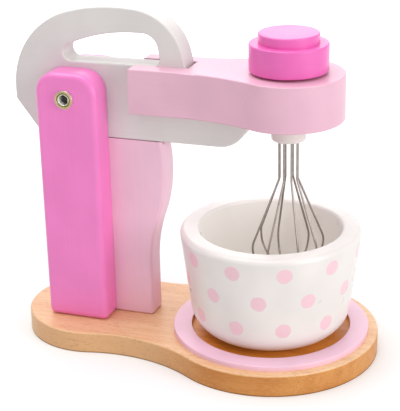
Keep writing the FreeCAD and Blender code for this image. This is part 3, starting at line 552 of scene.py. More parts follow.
@dataclass(frozen=True)
class TurnedZinc(Metal):
    """A screw head with a painted highlight on its rim wall, painted shade in its turned groove, and a socket
    with a painted highlight on its walls that face the light and painted shade elsewhere.

    The axis is the screw's x and z, and the face is how far its face lies from the middle.
    """

    axis: tuple[float, float] = (0.0, 0.0)
    face: float = 0.0
    wall_reach: tuple[float, float] = (0.0061, 0.0064)
    groove: float = 0.0045
    groove_half: tuple[float, float] = (0.00045, 0.00020)
    groove_shade_tone: float = 0.25
    inner_blend: float = 0.0004
    inner_share: float = 0.75
    socket_reach: tuple[float, float] = (0.0039, 0.0037)
    socket_depth: tuple[float, float] = (0.0002, 0.0005)
    lit_from_above: float = 0.35
    lit_between: tuple[float, float] = (0.1, 0.6)
    # Painted highlight for the rim wall and the socket's lit side, and painted shade for the rest of the
    # socket.
    bright: Colour = (0.80, 0.80, 0.77)
    inner: Colour = (0.60, 0.60, 0.50)
    socket_shade: Colour = (0.035, 0.03, 0.028)

    def plated(self, sheet: NodeSheet, place: Socket) -> tuple[Socket, float | Socket]:
        """The plated head, and a socket with a painted highlight on its lit side and painted shade elsewhere.

        Args:
            sheet: the material's nodes.
            place: the piece's own coordinates.

        Returns:
            The colour, and how metallic it is from 0 to 1.
        """
        axes = sheet.parts(place)
        reach = sheet.reach(sheet.maths("SUBTRACT", axes[0], self.axis[0]),
                            sheet.maths("SUBTRACT", axes[2], self.axis[1]))
        depth = sheet.maths("SUBTRACT", self.face, sheet.maths("ABSOLUTE", axes[1]))
        well = sheet.product(sheet.band(depth, *self.socket_depth), sheet.band(reach, *self.socket_reach))
        # Painted light in the socket: walls facing +x and up are painted bright and made diffuse, and the
        # rest are painted dark.
        facing = sheet.parts(sheet.add("ShaderNodeNewGeometry").outputs["Normal"])
        lit = sheet.band(sheet.maths("MULTIPLY_ADD", facing[2], self.lit_from_above, facing[0]),
                         *self.lit_between)
        head = self.banded(sheet, super().plated(sheet, place)[0], reach)
        return (sheet.mixed(well, head, sheet.mixed(lit, self.socket_shade, self.bright)),
                sheet.maths("SUBTRACT", 1.0, sheet.product(well, lit)))

    def banded(self, sheet: NodeSheet, plating: Socket, reach: Socket) -> Socket:
        """The head's bands: a paler middle, painted shade in the groove and a painted highlight on the rim
        wall.

        Args:
            sheet: the material's nodes.
            plating: the plating's own colour.
            reach: the distance from the screw's axis.

        Returns:
            The colour.
        """
        inside = sheet.product(sheet.band(reach, self.groove, self.groove - self.inner_blend),
                               self.inner_share)
        away = sheet.maths("ABSOLUTE", sheet.maths("SUBTRACT", reach, self.groove))
        colour = sheet.mixed(inside, plating, self.inner)
        # Painted shade in the turned groove.
        colour = sheet.mixed(sheet.band(away, *self.groove_half), colour,
                             shaded(self.colour, self.groove_shade_tone))
        # Painted highlight on the rim wall.
        return sheet.mixed(sheet.band(reach, *self.wall_reach), colour, self.bright)


@dataclass(frozen=True)
class Plastic(Finish):
    """Moulded plastic with a fine satin texture."""

    colour: Colour = (0.8, 0.8, 0.8)
    roughness: float = 0.42
    tone_scale: float = 60.0
    texture_scale: float = 1500.0
    deepest: float = 0.96
    sheen_play: tuple[float, float] = (-0.04, 0.06)
    relief: float = 0.00002

    def dress(self, sheet: NodeSheet, shader: bpy.types.Node, place: Socket) -> None:
        """A nearly even tone with a moulded surface's fine texture.

        Args:
            sheet: the material's nodes.
            shader: the shader to feed.
            place: the piece's own coordinates.
        """
        tone = sheet.noise(place, self.tone_scale, 2.0)
        texture = sheet.noise(place, self.texture_scale, 2.0)
        rough = [self.roughness + play for play in self.sheen_play]
        sheet.feed(shader, {
            "Base Color": sheet.mixed(tone, shaded(self.colour, self.deepest), self.colour),
            "Roughness": sheet.band(texture, *NOISE_SPREAD, *rough),
            "Normal": sheet.bump(texture, self.relief)})


POST_PAINT = PaintedWood("post_paint", "deep_pink", (0.95, 0.225, 0.605), Grain.ALONG_Z,
                         roughness=0.34, gloss_coat=0.2)
KNOB_PAINT = PaintedWood("knob_paint", "deep_pink", (0.82, 0.130, 0.475), roughness=0.30, gloss_coat=0.2)
COLUMN_PAINT = PaintedWood("column_paint", "pale_pink", (0.92, 0.58, 0.72), Grain.ALONG_Z)
# The arm's pale pink is painted darker than the column's and the ring's, as painted shade on the arm.
SHADED_ARM_PAINT = PaintedWood("arm_paint", "pale_pink", (0.815, 0.475, 0.60))
RING_PAINT = RingPaint("ring_paint", "pale_pink", (0.93, 0.60, 0.74))
HEAD_PAINT = PaintedWood("head_paint", "soft_white", (0.75, 0.722, 0.70))
BOWL_PAINT = DottedPaint("bowl_paint", "dotted_white", (0.875, 0.825, 0.792), Grain.ALONG_Z,
                         roughness=0.30, gloss_coat=0.25, telegraph=0.04)
BASE_WOOD = Beech("base_wood", "beech")
DOWEL_WOOD = Beech("dowel_wood", "beech", Grain.ALONG_Y)
HUB_PLASTIC = Plastic("hub_plastic", "hub_cream", (0.82, 0.745, 0.71))
NYLON = Plastic("washer_nylon", "washer_nylon", (0.70, 0.68, 0.62))
WIRE_STEEL = Metal("wire_steel", "whisk_wire", (0.36, 0.31, 0.28), (0.30, 0.26, 0.235),
                   roughness=0.36, cloud_scale=400.0)
SCREW_ZINC = Metal("yellow_zinc", "yellow_zinc", (0.44, 0.40, 0.20), (0.47, 0.34, 0.12),
                   roughness=0.30, cloud_scale=260.0)
PIVOT_ZINC = TurnedZinc("pivot_zinc", "yellow_zinc", (0.37, 0.35, 0.19), (0.45, 0.32, 0.12),
                        roughness=0.26, cloud_scale=260.0)
SHAFT_STEEL = Metal("shaft_steel", "plain_steel", (0.50, 0.50, 0.50), (0.44, 0.44, 0.45))


@dataclass(frozen=True)
class Corner:
    """A corner of a turned section: distance from the axis, height and rounding radius."""

    out: float
    up: float
    rounding: float = 0.0

    def point(self) -> Vector:
        """The corner's place in the section."""
        return Vector((self.out, self.up))


def rounded_corner(before: Corner, corner: Corner, after: Corner, steps: int) -> list[tuple[float, float]]:
    """The arc that rounds a corner, tangent to both its sides.

    Args:
        before: the corner before it.
        corner: the corner.
        after: the corner after it.
        steps: straight pieces in the arc.

    Returns:
        Points as (distance from the axis, height).
    """
    here = corner.point()
    back = (before.point() - here).normalized()
    ahead = (after.point() - here).normalized()
    half = back.angle(ahead) / 2
    centre = here + (back + ahead).normalized() * (corner.rounding / math.sin(half))
    start = here + back * (corner.rounding / math.tan(half)) - centre
    sweep = math.copysign(math.pi - 2 * half, start.y * back.x - start.x * back.y)
    turns = [sweep * step / steps for step in range(steps + 1)]
    return [(centre.x + start.x * math.cos(turn) - start.y * math.sin(turn),
             centre.y + start.x * math.sin(turn) + start.y * math.cos(turn)) for turn in turns]


def rounded_section(corners: Sequence[Corner], steps: int = 8,
                    longest: float = 0.006) -> list[tuple[float, float]]:
    """A section with its corners rounded by tangent arcs.

    Args:
        corners: the section's corners from one end to the other.
        steps: straight pieces in each arc.
        longest: the longest straight piece left between two points.

    Returns:
        Points as (distance from the axis, height).
    """
    points: list[tuple[float, float]] = []
    for before, corner, after in zip([None, *corners], corners, [*corners[1:], None]):
        if before and after and corner.rounding:
            points += rounded_corner(before, corner, after, steps)
        else:
            points.append(tuple(corner.point()))
    filled = [points[0]]
    for first, last in zip(points, points[1:]):
        pieces = max(1, math.ceil(math.dist(first, last) / longest))
        filled += [(first[0] + (last[0] - first[0]) * step / pieces,
                    first[1] + (last[1] - first[1]) * step / pieces) for step in range(1, pieces + 1)]
    return filled


def linked(name: str, data: bpy.types.ID) -> bpy.types.Object:
    """Put a new object into the scene.

    Args:
        name: the object's name.
        data: its mesh, lamp or lens.

    Returns:
        The object, at the origin.
    """
    made = bpy.data.objects.new(name, data)
    bpy.context.scene.collection.objects.link(made)
    return made


def finish_mesh(mesh: bpy.types.Mesh, sharp: float) -> None:
    """Shade a mesh smooth between its crisp edges.

    Args:
        mesh: the mesh.
        sharp: edges that turn by more degrees than this stay crisp.
    """
    mesh.validate()
    mesh.shade_smooth()
    mesh.set_sharp_from_angle(angle=math.radians(sharp))
    mesh.update()


def ring_points(radius: Radius, height: float, segments: int) -> list[Vector]:
    """A ring's points about the axis.

    Args:
        radius: its radius, or a function from angle to radius; 0 gives one point on the axis.
        height: its height.
        segments: how many points it has.

    Returns:
        The points in order.
    """
    if radius == 0:
        return [Vector((0, 0, height))]
    turns = [2 * math.pi * step / segments for step in range(segments)]
    outs = [radius(turn) if callable(radius) else radius for turn in turns]
    return [Vector((out * math.cos(turn), out * math.sin(turn), height)) for out, turn in zip(outs, turns)]


def faces_between(low: list[int], high: list[int]) -> list[tuple[int, ...]]:
    """Faces between two rings of points.

    Args:
        low: the lower ring's points, or its one point on the axis.
        high: the upper ring's points, or its one point on the axis.

    Returns:
        The faces, which look outwards.
    """
    if len(low) == 1:
        return [(low[0], after, here) for here, after in zip(high, high[1:] + high[:1])]
    sides = list(zip(low, low[1:] + low[:1]))
    if len(high) == 1:
        return [(here, after, high[0]) for here, after in sides]
    return [(here, after, above_after, above)
            for (here, after), above, above_after in zip(sides, high, high[1:] + high[:1])]


def turned_piece(name: str, section: Sequence[Ring], place: Matrix, segments: int = 96,
                 sharp: float = 38.0, closed: bool = False) -> bpy.types.Object:
    """A turned piece, its axis on local z.

    Args:
        name: the piece's name.
        section: rings as (radius, or a function from angle to radius, height), in order so that
            faces point out when it runs from the bottom round the outside to the top.
        place: where the local axes go.
        segments: faces round the piece.
        sharp: edges that turn by more degrees than this stay crisp.
        closed: join the last ring to the first, for a piece with a hole through it.

    Returns:
        The piece's object, at the origin with its place in its mesh.
    """
    points: list[Vector] = []
    rings: list[list[int]] = []
    for radius, height in section:
        ring = ring_points(radius, height, segments)
        rings.append(list(range(len(points), len(points) + len(ring))))
        points += ring
    pairs = list(zip(rings, rings[1:])) + ([(rings[-1], rings[0])] if closed else [])
    mesh = bpy.data.meshes.new(name)
    mesh.from_pydata([place @ point for point in points], [],
                     [face for low, high in pairs for face in faces_between(low, high)])
    finish_mesh(mesh, sharp)
    return linked(name, mesh)


def dress(piece: bpy.types.Object, finish: Finish, body: str, *nodes: str) -> None:
    """Give a new piece its finish and its part in the frame.

    Args:
        piece: the piece.
        finish: its finish.
        body: the body that it moves with.
        nodes: the frame nodes that it stands for.
    """
    piece.data.materials.clear()
    piece.data.materials.append(finish.material())
    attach(piece, body)
    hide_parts(*nodes)
    LOG.info("%s: %d faces on %s", piece.name, len(piece.data.polygons), body)


def dress_node(frame: dict, name: str, finish: Finish) -> None:
    """Give a frame node a finish.

    Args:
        frame: the loaded frame.
        name: the node's name.
        finish: its finish.
    """
    node = frame["nodes"][name]
    for slot in node.material_slots:
        slot.material = finish.material()
    LOG.info("%s: %s", name, finish.name)


def eased_board(frame: dict, node: str, width: float) -> bpy.types.Object:
    """A copy of a frame node with the edge round its foot eased.

    Args:
        frame: the loaded frame.
        node: the node's name.
        width: how far the easing reaches from the edge.

    Returns:
        The new piece, at the origin with its place in its mesh.
    """
    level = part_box(node)[0].z
    work = bmesh.new()
    work.from_mesh(frame["nodes"][node].data)
    bmesh.ops.remove_doubles(work, verts=work.verts, dist=MERGE_WITHIN)
    bmesh.ops.dissolve_limit(work, angle_limit=FLAT_WITHIN, verts=work.verts, edges=work.edges)
    foot = [edge for edge in work.edges if len(edge.link_faces) == 2
            and all(point.co.z < level + LEVEL_WITHIN for point in edge.verts)
            and edge.calc_face_angle() > CORNER_FROM]
    bmesh.ops.bevel(work, geom=foot, offset=width, offset_type="OFFSET", segments=5, profile=0.5,
                    affect="EDGES", clamp_overlap=False)
    bmesh.ops.recalc_face_normals(work, faces=work.faces)
    mesh = bpy.data.meshes.new(node + "_work")
    work.to_mesh(mesh)
    work.free()
    finish_mesh(mesh, sharp=40.0)
    host = linked(node + "_work", mesh)
    weighted = host.modifiers.new("weighted", "WEIGHTED_NORMAL")
    weighted.keep_sharp = True
    graph = bpy.context.evaluated_depsgraph_get()
    plain = bpy.data.meshes.new_from_object(host.evaluated_get(graph), preserve_all_data_layers=True,
                                            depsgraph=graph)
    plain.name = node + "_eased"
    bpy.data.objects.remove(host)
    bpy.data.meshes.remove(mesh)
    return linked(plain.name, plain)


@dataclass
class Post:
    """An upright board, rounded over round its outer face, with a sunk seat for the pivot's head.

    The hold is a narrow flat beside each rounding that keeps the faces' shading flat.
    """

    top_corner: float = 0.0150
    foot_corner: float = 0.0042
    outer_round: float = 0.0042
    inner_round: float = 0.0010
    least_round: float = 0.00005
    hold: float = 0.0005
    seat: float = 0.0066
    seat_deep: float = 0.0054
    bore: float = 0.0041
    steps: int = 8

    def build(self, node: str, pivot: Vector) -> None:
        """Make the board in a node's place.

        Args:
            node: the post's node.
            pivot: the middle of the pivot that goes through it.
        """
        low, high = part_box(node)
        outer, inner = (low.y, high.y) if high.y < 0 else (high.y, low.y)
        inward = math.copysign(1.0, inner - outer)
        thick = high.y - low.y
        loops = [[(x, outer + inward * deep, z) for x, z in self.outline(low, high, inset)]
                 for inset, deep in self.section(thick)]
        turns = [math.atan2(z - pivot.z, x - pivot.x) for x, _, z in loops[0]]
        for radius, deep in ((self.seat, 0.0), (self.seat, self.seat_deep), (self.bore, self.seat_deep),
                             (self.bore, thick)):
            loops.append([(pivot.x + radius * math.cos(turn), outer + inward * deep,
                           pivot.z + radius * math.sin(turn)) for turn in turns])
        piece = linked(node + "_shaped", self.skin(node + "_shaped", loops))
        dress(piece, POST_PAINT, "base", node)

    @staticmethod
    def skin(name: str, loops: list[list[tuple[float, float, float]]]) -> bpy.types.Mesh:
        """A closed skin over loops with as many points each.

        Args:
            name: the mesh's name.
            loops: the loops in order; the last joins the first.

        Returns:
            The mesh.
        """
        count = len(loops[0])
        faces = []
        for row in range(len(loops)):
            here, there = row * count, (row + 1) % len(loops) * count
            for step in range(count):
                after = (step + 1) % count
                faces.append((here + step, here + after, there + after, there + step))
        mesh = bpy.data.meshes.new(name)
        mesh.from_pydata([point for loop in loops for point in loop], [], faces)
        work = bmesh.new()
        work.from_mesh(mesh)
        bmesh.ops.recalc_face_normals(work, faces=work.faces)
        work.to_mesh(mesh)
        work.free()
        finish_mesh(mesh, sharp=38.0)
        return mesh

    def section(self, thick: float) -> list[tuple[float, float]]:
        """The edge's section from the inner face round to the outer face.

        Args:
            thick: the board's thickness.

        Returns:
            Points as (inset from the outline, depth from the outer face).
        """
        quarter = [math.pi / 2 * step / self.steps for step in range(self.steps + 1)]
        inner = [(self.inner_round * (1 - math.cos(turn)), thick - self.inner_round * (1 - math.sin(turn)))
                 for turn in reversed(quarter)]
        outer = [(self.outer_round * (1 - math.cos(turn)), self.outer_round * (1 - math.sin(turn)))
                 for turn in quarter]
        return ([(self.inner_round + self.hold, thick)] + inner + [(0.0, inner[-1][1] - self.hold)]
                + [(0.0, self.outer_round + self.hold)] + outer + [(self.outer_round + self.hold, 0.0)])

    def outline(self, low: Vector, high: Vector, inset: float) -> list[tuple[float, float]]:
        """The board's outline.

        Args:
            low: the board's lowest corner.
            high: its highest corner.
            inset: how far the outline moves inwards.

        Returns:
            Points as (x, z), as many for every inset.
        """
        points: list[tuple[float, float]] = []
        corners = ((low.x, low.z, self.foot_corner), (high.x, low.z, self.foot_corner),
                   (high.x, high.z, self.top_corner), (low.x, high.z, self.top_corner))
        for number, (x, z, radius) in enumerate(corners):
            rounding = max(radius - inset, self.least_round)
            centre_x = x + math.copysign(inset + rounding, low.x + high.x - 2 * x)
            centre_z = z + math.copysign(inset + rounding, low.z + high.z - 2 * z)
            for step in range(2 * self.steps + 1):
                turn = math.pi + math.pi / 2 * (number + step / (2 * self.steps))
                points.append((centre_x + rounding * math.cos(turn), centre_z + rounding * math.sin(turn)))
        return points


@dataclass
class BaseAndPosts:
    """The base board, its ring, the posts and the column."""

    ring_outer: float = 0.0677
    ring_inner: float = 0.0550
    ring_round: float = 0.00060
    ring_inner_round: float = 0.00042
    column_easing: float = 0.0020

    def build(self, frame: dict) -> None:
        """Dress the boards, shape the posts, ease the column's foot and turn the ring.

        Args:
            frame: the loaded frame.
        """
        dress_node(frame, "base_board", BASE_WOOD)
        low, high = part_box("pivot_bolt")
        for post in ("left_post", "right_post"):
            Post().build(post, (low + high) / 2)
        dress(eased_board(frame, "column", self.column_easing), COLUMN_PAINT, "base", "column")
        for dowels in ("column_dowels", "arm_dowels"):
            dress_node(frame, dowels, DOWEL_WOOD)
        dress(self.ring(), RING_PAINT, "base", "bowl_ring")

    def ring(self) -> bpy.types.Object:
        """The bowl's ring, with softened painted edges.

        Returns:
            The new piece.
        """
        low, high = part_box("bowl_ring")
        tall = high.z - low.z
        corners = [Corner(self.ring_inner, tall / 2), Corner(self.ring_inner, 0),
                   Corner(self.ring_outer, 0), Corner(self.ring_outer, tall, self.ring_round),
                   Corner(self.ring_inner, tall, self.ring_inner_round), Corner(self.ring_inner, tall / 2)]
        section = rounded_section(corners, steps=6)[:-1]
        place = Matrix.Translation((0, 0, low.z))
        return turned_piece("bowl_ring_turned", section, place, segments=256, closed=True)


@dataclass
class Bowl:
    """The lift-out bowl."""

    rim_out: float = 0.0620
    rim_in: float = 0.0488
    bottom: float = 0.0528
    inside_bottom: float = 0.0420
    floor: float = 0.0100
    foot_round: float = 0.0220
    lip_round: float = 0.0036
    mouth_round: float = 0.0022
    inside_round: float = 0.0170

    def build(self) -> None:
        """Turn and paint the bowl."""
        low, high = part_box("bowl")
        tall = high.z - low.z
        corners = [Corner(0, 0), Corner(self.bottom, 0, self.foot_round),
                   Corner(self.rim_out, tall, self.lip_round), Corner(self.rim_in, tall, self.mouth_round),
                   Corner(self.inside_bottom, self.floor, self.inside_round), Corner(0, self.floor)]
        section = rounded_section(corners, steps=14)
        place = Matrix.Translation((0, 0, low.z))
        piece = turned_piece("bowl_turned", section, place, segments=256, sharp=60.0)
        dress(piece, BOWL_PAINT, "bowl", "bowl")


@dataclass
class Head:
    """The tilting board, the arm and the knob."""

    knob_round: float = 0.00110
    disc_under_round: float = 0.00077

    def build(self, frame: dict) -> None:
        """Dress the boards and turn the knob's two discs.

        Args:
            frame: the loaded frame.
        """
        dress_node(frame, "head_board", HEAD_PAINT)
        dress_node(frame, "mixer_arm", SHADED_ARM_PAINT)
        dress_node(frame, "drive_shaft", SHAFT_STEEL)
        dress_node(frame, "whisk_hub", HUB_PLASTIC)
        for washer in ("knob_washer", "hub_washer"):
            dress_node(frame, washer, NYLON)
        self.disc("knob_disc", self.disc_under_round)
        self.disc("knob_cap", 0.0)

    def disc(self, node: str, bottom_round: float) -> None:
        """A turned disc in a node's place.

        Args:
            node: the disc's node.
            bottom_round: the rounding of its lower edge.
        """
        low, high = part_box(node)
        out, tall = (high.x - low.x) / 2, high.z - low.z
        corners = [Corner(0, 0), Corner(out, 0, bottom_round), Corner(out, tall, self.knob_round),
                   Corner(0, tall)]
        place = Matrix.Translation(((low.x + high.x) / 2, 0, low.z))
        piece = turned_piece(node + "_turned", rounded_section(corners), place, segments=192)
        dress(piece, KNOB_PAINT, "spinner", node)


@dataclass
class TreeInput:
    """A named input of a geometry tree and its value."""

    name: str
    kind: str
    value: object


class GeometryTree:
    """A geometry tree made in code, with named inputs."""

    def __init__(self, name: str, inputs: Sequence[TreeInput]) -> None:
        """Make the tree and its sockets.

        Args:
            name: the tree's name.
            inputs: its inputs beside the geometry.
        """
        self.inputs = list(inputs)
        self.group = bpy.data.node_groups.new(name, "GeometryNodeTree")
        face = self.group.interface
        face.new_socket("Geometry", in_out="INPUT", socket_type="NodeSocketGeometry")
        self.identifiers = {item.name: face.new_socket(
            item.name, in_out="INPUT", socket_type=item.kind).identifier for item in self.inputs}
        face.new_socket("Geometry", in_out="OUTPUT", socket_type="NodeSocketGeometry")
        self.sheet = NodeSheet(self.group)
        self.source = self.sheet.add("NodeGroupInput")

    def socket(self, name: str) -> Socket:
        """An input's socket inside the tree."""
        return self.source.outputs[name]

    def close(self, geometry: Socket) -> None:
        """End the tree in Realize Instances and Set Material.

        Args:
            geometry: what the tree has made.
        """
        real = self.sheet.add("GeometryNodeRealizeInstances", {0: geometry})
        painted = self.sheet.add("GeometryNodeSetMaterial", {"Geometry": real.outputs[0],
                                                             "Material": self.socket("Finish")})
        self.sheet.add("NodeGroupOutput", {0: painted.outputs[0]})

    def apply(self, host: bpy.types.Object, name: str) -> bpy.types.Object:
        """Run the tree on a host object.

        Args:
            host: the object whose mesh goes into the tree; it is removed.
            name: the name of the finished piece.

        Returns:
            The result as a plain mesh object at the origin.
        """
        modifier = host.modifiers.new("tree", "NODES")
        modifier.node_group = self.group
        for item in self.inputs:
            modifier[self.identifiers[item.name]] = item.value
        shown = host.evaluated_get(bpy.context.evaluated_depsgraph_get())
        mesh = bpy.data.meshes.new_from_object(shown)
        mesh.name = name
        host.modifiers.remove(modifier)
        old = host.data
        bpy.data.objects.remove(host)
        bpy.data.meshes.remove(old)
        return linked(name, mesh)


@dataclass
class Whisk:
    """Four wire loops that cross under the hub, each a little lower than the last.

    The wires leave the hub on a circle, bend outwards under their straight necks, are widest at the
    waist and end at the length, all measured down from the hub's face. The shoulder, the cup and
    the bend are radii. A loop's lift and its cage turn, in degrees, grow from the bend to the waist.
    """

    loops: int = 4
    wire: float = 0.0007
    wire_faces: int = 14
    seat: float = 0.0060
    circle: float = 0.0065
    straight: float = 0.0267
    wide: float = 0.0252
    waist: float = 0.0780
    length: float = 0.1000
    bend: float = 0.0040
    shoulder: float = 0.0140
    cup: float = 0.0270
    stack: float = 0.0017
    rest_turn: float = math.radians(-12.0)
    cage_turns: tuple[float, ...] = (-14.6, 1.0, -6.4, -1.4)

    def build(self) -> None:
        """Run one loop's line through the tree that repeats, lifts and thickens it."""
        low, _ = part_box("whisk_hub")
        middle = (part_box("knob_cap")[0].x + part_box("knob_cap")[1].x) / 2
        half = self.half_loop()
        line = half + [(-out, up) for out, up in reversed(half[:-1])]
        mesh = bpy.data.meshes.new("whisk_line")
        edges = [(step, step + 1) for step in range(len(line) - 1)]
        mesh.from_pydata([(out, 0, up) for out, up in line], edges, [])
        host = linked("whisk_line", mesh)
        piece = self.tree(Vector((middle, 0, low.z))).apply(host, "whisk_wires")
        dress(piece, WIRE_STEEL, "spinner", *(f"whisk_loop_{number}" for number in range(1, self.loops + 1)))

    def half_loop(self) -> list[tuple[float, float]]:
        """The lowest loop's right half, from its seat in the hub to its middle.

        A straight neck, a bend outwards, a straight run, a shoulder, a round cheek and a wide
        bottom, each tangent to the next.

        Returns:
            Points as (distance from the hub's axis, height over the hub's face).
        """
        neck = Vector((self.circle + self.bend, -self.straight))
        swell = Vector((self.wide - self.shoulder, -self.waist))
        away = swell - neck
        lean = math.atan2(away.y, away.x) - math.acos((self.bend + self.shoulder) / away.length)
        low = Vector((0, self.cup - self.length))
        rise = -self.waist - low.y
        cheek = (self.wide**2 - self.cup**2 + rise**2) / (2 * (self.wide - self.cup))
        side = Vector((self.wide - cheek, -self.waist))
        turn = math.atan2(side.y - low.y, side.x - low.x)
        points = [(self.circle, self.seat), (self.circle, -self.straight)]
        points += self.arc(neck, self.bend, math.pi, lean + 2 * math.pi, 8)
        points += [tuple(swell - self.shoulder * Vector((math.cos(lean), math.sin(lean))))]
        points += self.arc(swell, self.shoulder, lean + math.pi, 0.0, 12)
        points += self.arc(side, cheek, 0.0, turn, 20)
        return points + self.arc(low, self.cup, turn, -math.pi / 2, 16)

    @staticmethod
    def arc(centre: Vector, radius: float, start: float, end: float, steps: int) -> list[tuple[float, float]]:
        """Points along an arc, without its first."""
        turns = [start + (end - start) * step / steps for step in range(1, steps + 1)]
        return [(centre.x + radius * math.cos(turn), centre.y + radius * math.sin(turn)) for turn in turns]

    def inputs(self, centre: Vector) -> list[TreeInput]:
        """The tree's named inputs.

        Args:
            centre: the middle of the hub's lower face.

        Returns:
            The inputs with their values.
        """
        return [TreeInput("Loops", "NodeSocketInt", self.loops),
                TreeInput("Wire Radius", "NodeSocketFloat", self.wire),
                TreeInput("Wire Faces", "NodeSocketInt", self.wire_faces),
                TreeInput("Stack Step", "NodeSocketFloat", self.stack),
                TreeInput("Rest Turn", "NodeSocketFloat", self.rest_turn),
                TreeInput("Bend Level", "NodeSocketFloat", -self.straight),
                TreeInput("Waist Level", "NodeSocketFloat", -self.waist),
                TreeInput("Hub Face", "NodeSocketVector", tuple(centre)),
                *(TreeInput(f"Cage Turn {number}", "NodeSocketFloat", math.radians(turn))
                  for number, turn in enumerate(self.cage_turns, 1)),
                TreeInput("Finish", "NodeSocketMaterial", WIRE_STEEL.material())]

    def tree(self, centre: Vector) -> GeometryTree:
        """Loops about the hub's axis, each lifted at its bottom and swept with the wire's section.

        Args:
            centre: the middle of the hub's lower face.

        Returns:
            The tree.
        """
        tree = GeometryTree("whisk_loops", self.inputs(centre))
        sheet = tree.sheet
        index = sheet.add("GeometryNodeInputIndex").outputs[0]
        line = sheet.add("GeometryNodeMeshToCurve", {0: tree.socket("Geometry")}).outputs[0]
        step = sheet.maths("DIVIDE", math.pi, tree.socket("Loops"))
        turn = sheet.maths("MULTIPLY_ADD", index, step, tree.socket("Rest Turn"))
        spin = sheet.add("ShaderNodeCombineXYZ", {2: turn}).outputs[0]
        loops = sheet.add("GeometryNodeInstanceOnPoints", {
            "Points": self.marked_points(tree, index), "Instance": line, "Rotation": spin}).outputs[0]
        real = sheet.add("GeometryNodeRealizeInstances", {0: loops}).outputs[0]
        section = sheet.add("GeometryNodeCurvePrimitiveCircle", {
            "Resolution": tree.socket("Wire Faces"), "Radius": tree.socket("Wire Radius")}).outputs[0]
        swept = sheet.add("GeometryNodeCurveToMesh", {
            0: self.caged(tree, real), 1: section, "Fill Caps": True}).outputs[0]
        tree.close(sheet.add("GeometryNodeSetShadeSmooth", {0: swept}).outputs[0])
        return tree

    def marked_points(self, tree: GeometryTree, index: Socket) -> Socket:
        """One point for each loop, marked with how far the loop lifts and turns in the cage.

        Args:
            tree: the whisk's tree.
            index: the point's number.

        Returns:
            The points.
        """
        sheet = tree.sheet
        spare = sheet.maths("SUBTRACT", sheet.maths("SUBTRACT", tree.socket("Loops"), 1.0), index)
        lift = sheet.product(spare, tree.socket("Stack Step"))
        bent = sheet.add("GeometryNodeIndexSwitch", data_type="FLOAT")
        while len(bent.index_switch_items) < self.loops:
            bent.index_switch_items.new()
        sheet.feed(bent, {0: index, **{number: tree.socket(f"Cage Turn {number}")
                                       for number in range(1, self.loops + 1)}})
        points = sheet.add("GeometryNodePoints", {"Count": tree.socket("Loops")}).outputs[0]
        for name, value in (("lift", lift), ("bent", bent.outputs[0])):
            points = sheet.add("GeometryNodeStoreNamedAttribute", {
                "Geometry": points, "Name": name, "Value": value}, data_type="FLOAT",
                domain="POINT").outputs[0]
        return points

    @staticmethod
    def caged(tree: GeometryTree, loops: Socket) -> Socket:
        """Lift and turn each loop by its marks, more and more from the bend down to the waist.

        Args:
            tree: the whisk's tree.
            loops: the loops' lines.

        Returns:
            The lines in their places.
        """
        sheet = tree.sheet
        here = sheet.add("GeometryNodeInputPosition").outputs[0]
        share = sheet.add("ShaderNodeMapRange", {
            0: sheet.parts(here)[2], 1: tree.socket("Bend Level"), 2: tree.socket("Waist Level"),
            3: 0.0, 4: 1.0}).outputs[0]
        lift, twist = (sheet.product(share, sheet.add(
            "GeometryNodeInputNamedAttribute", {"Name": name}, data_type="FLOAT").outputs[0])
            for name in ("lift", "bent"))
        turned = sheet.add("ShaderNodeVectorRotate", {"Vector": here, "Angle": twist},
                           rotation_type="Z_AXIS").outputs[0]
        rise = sheet.add("ShaderNodeCombineXYZ", {2: lift}).outputs[0]
        shift = sheet.add("ShaderNodeVectorMath", {0: rise, 1: tree.socket("Hub Face")}).outputs[0]
        return sheet.add("GeometryNodeSetPosition", {
            "Geometry": loops, "Position": turned, "Offset": shift}).outputs[0]


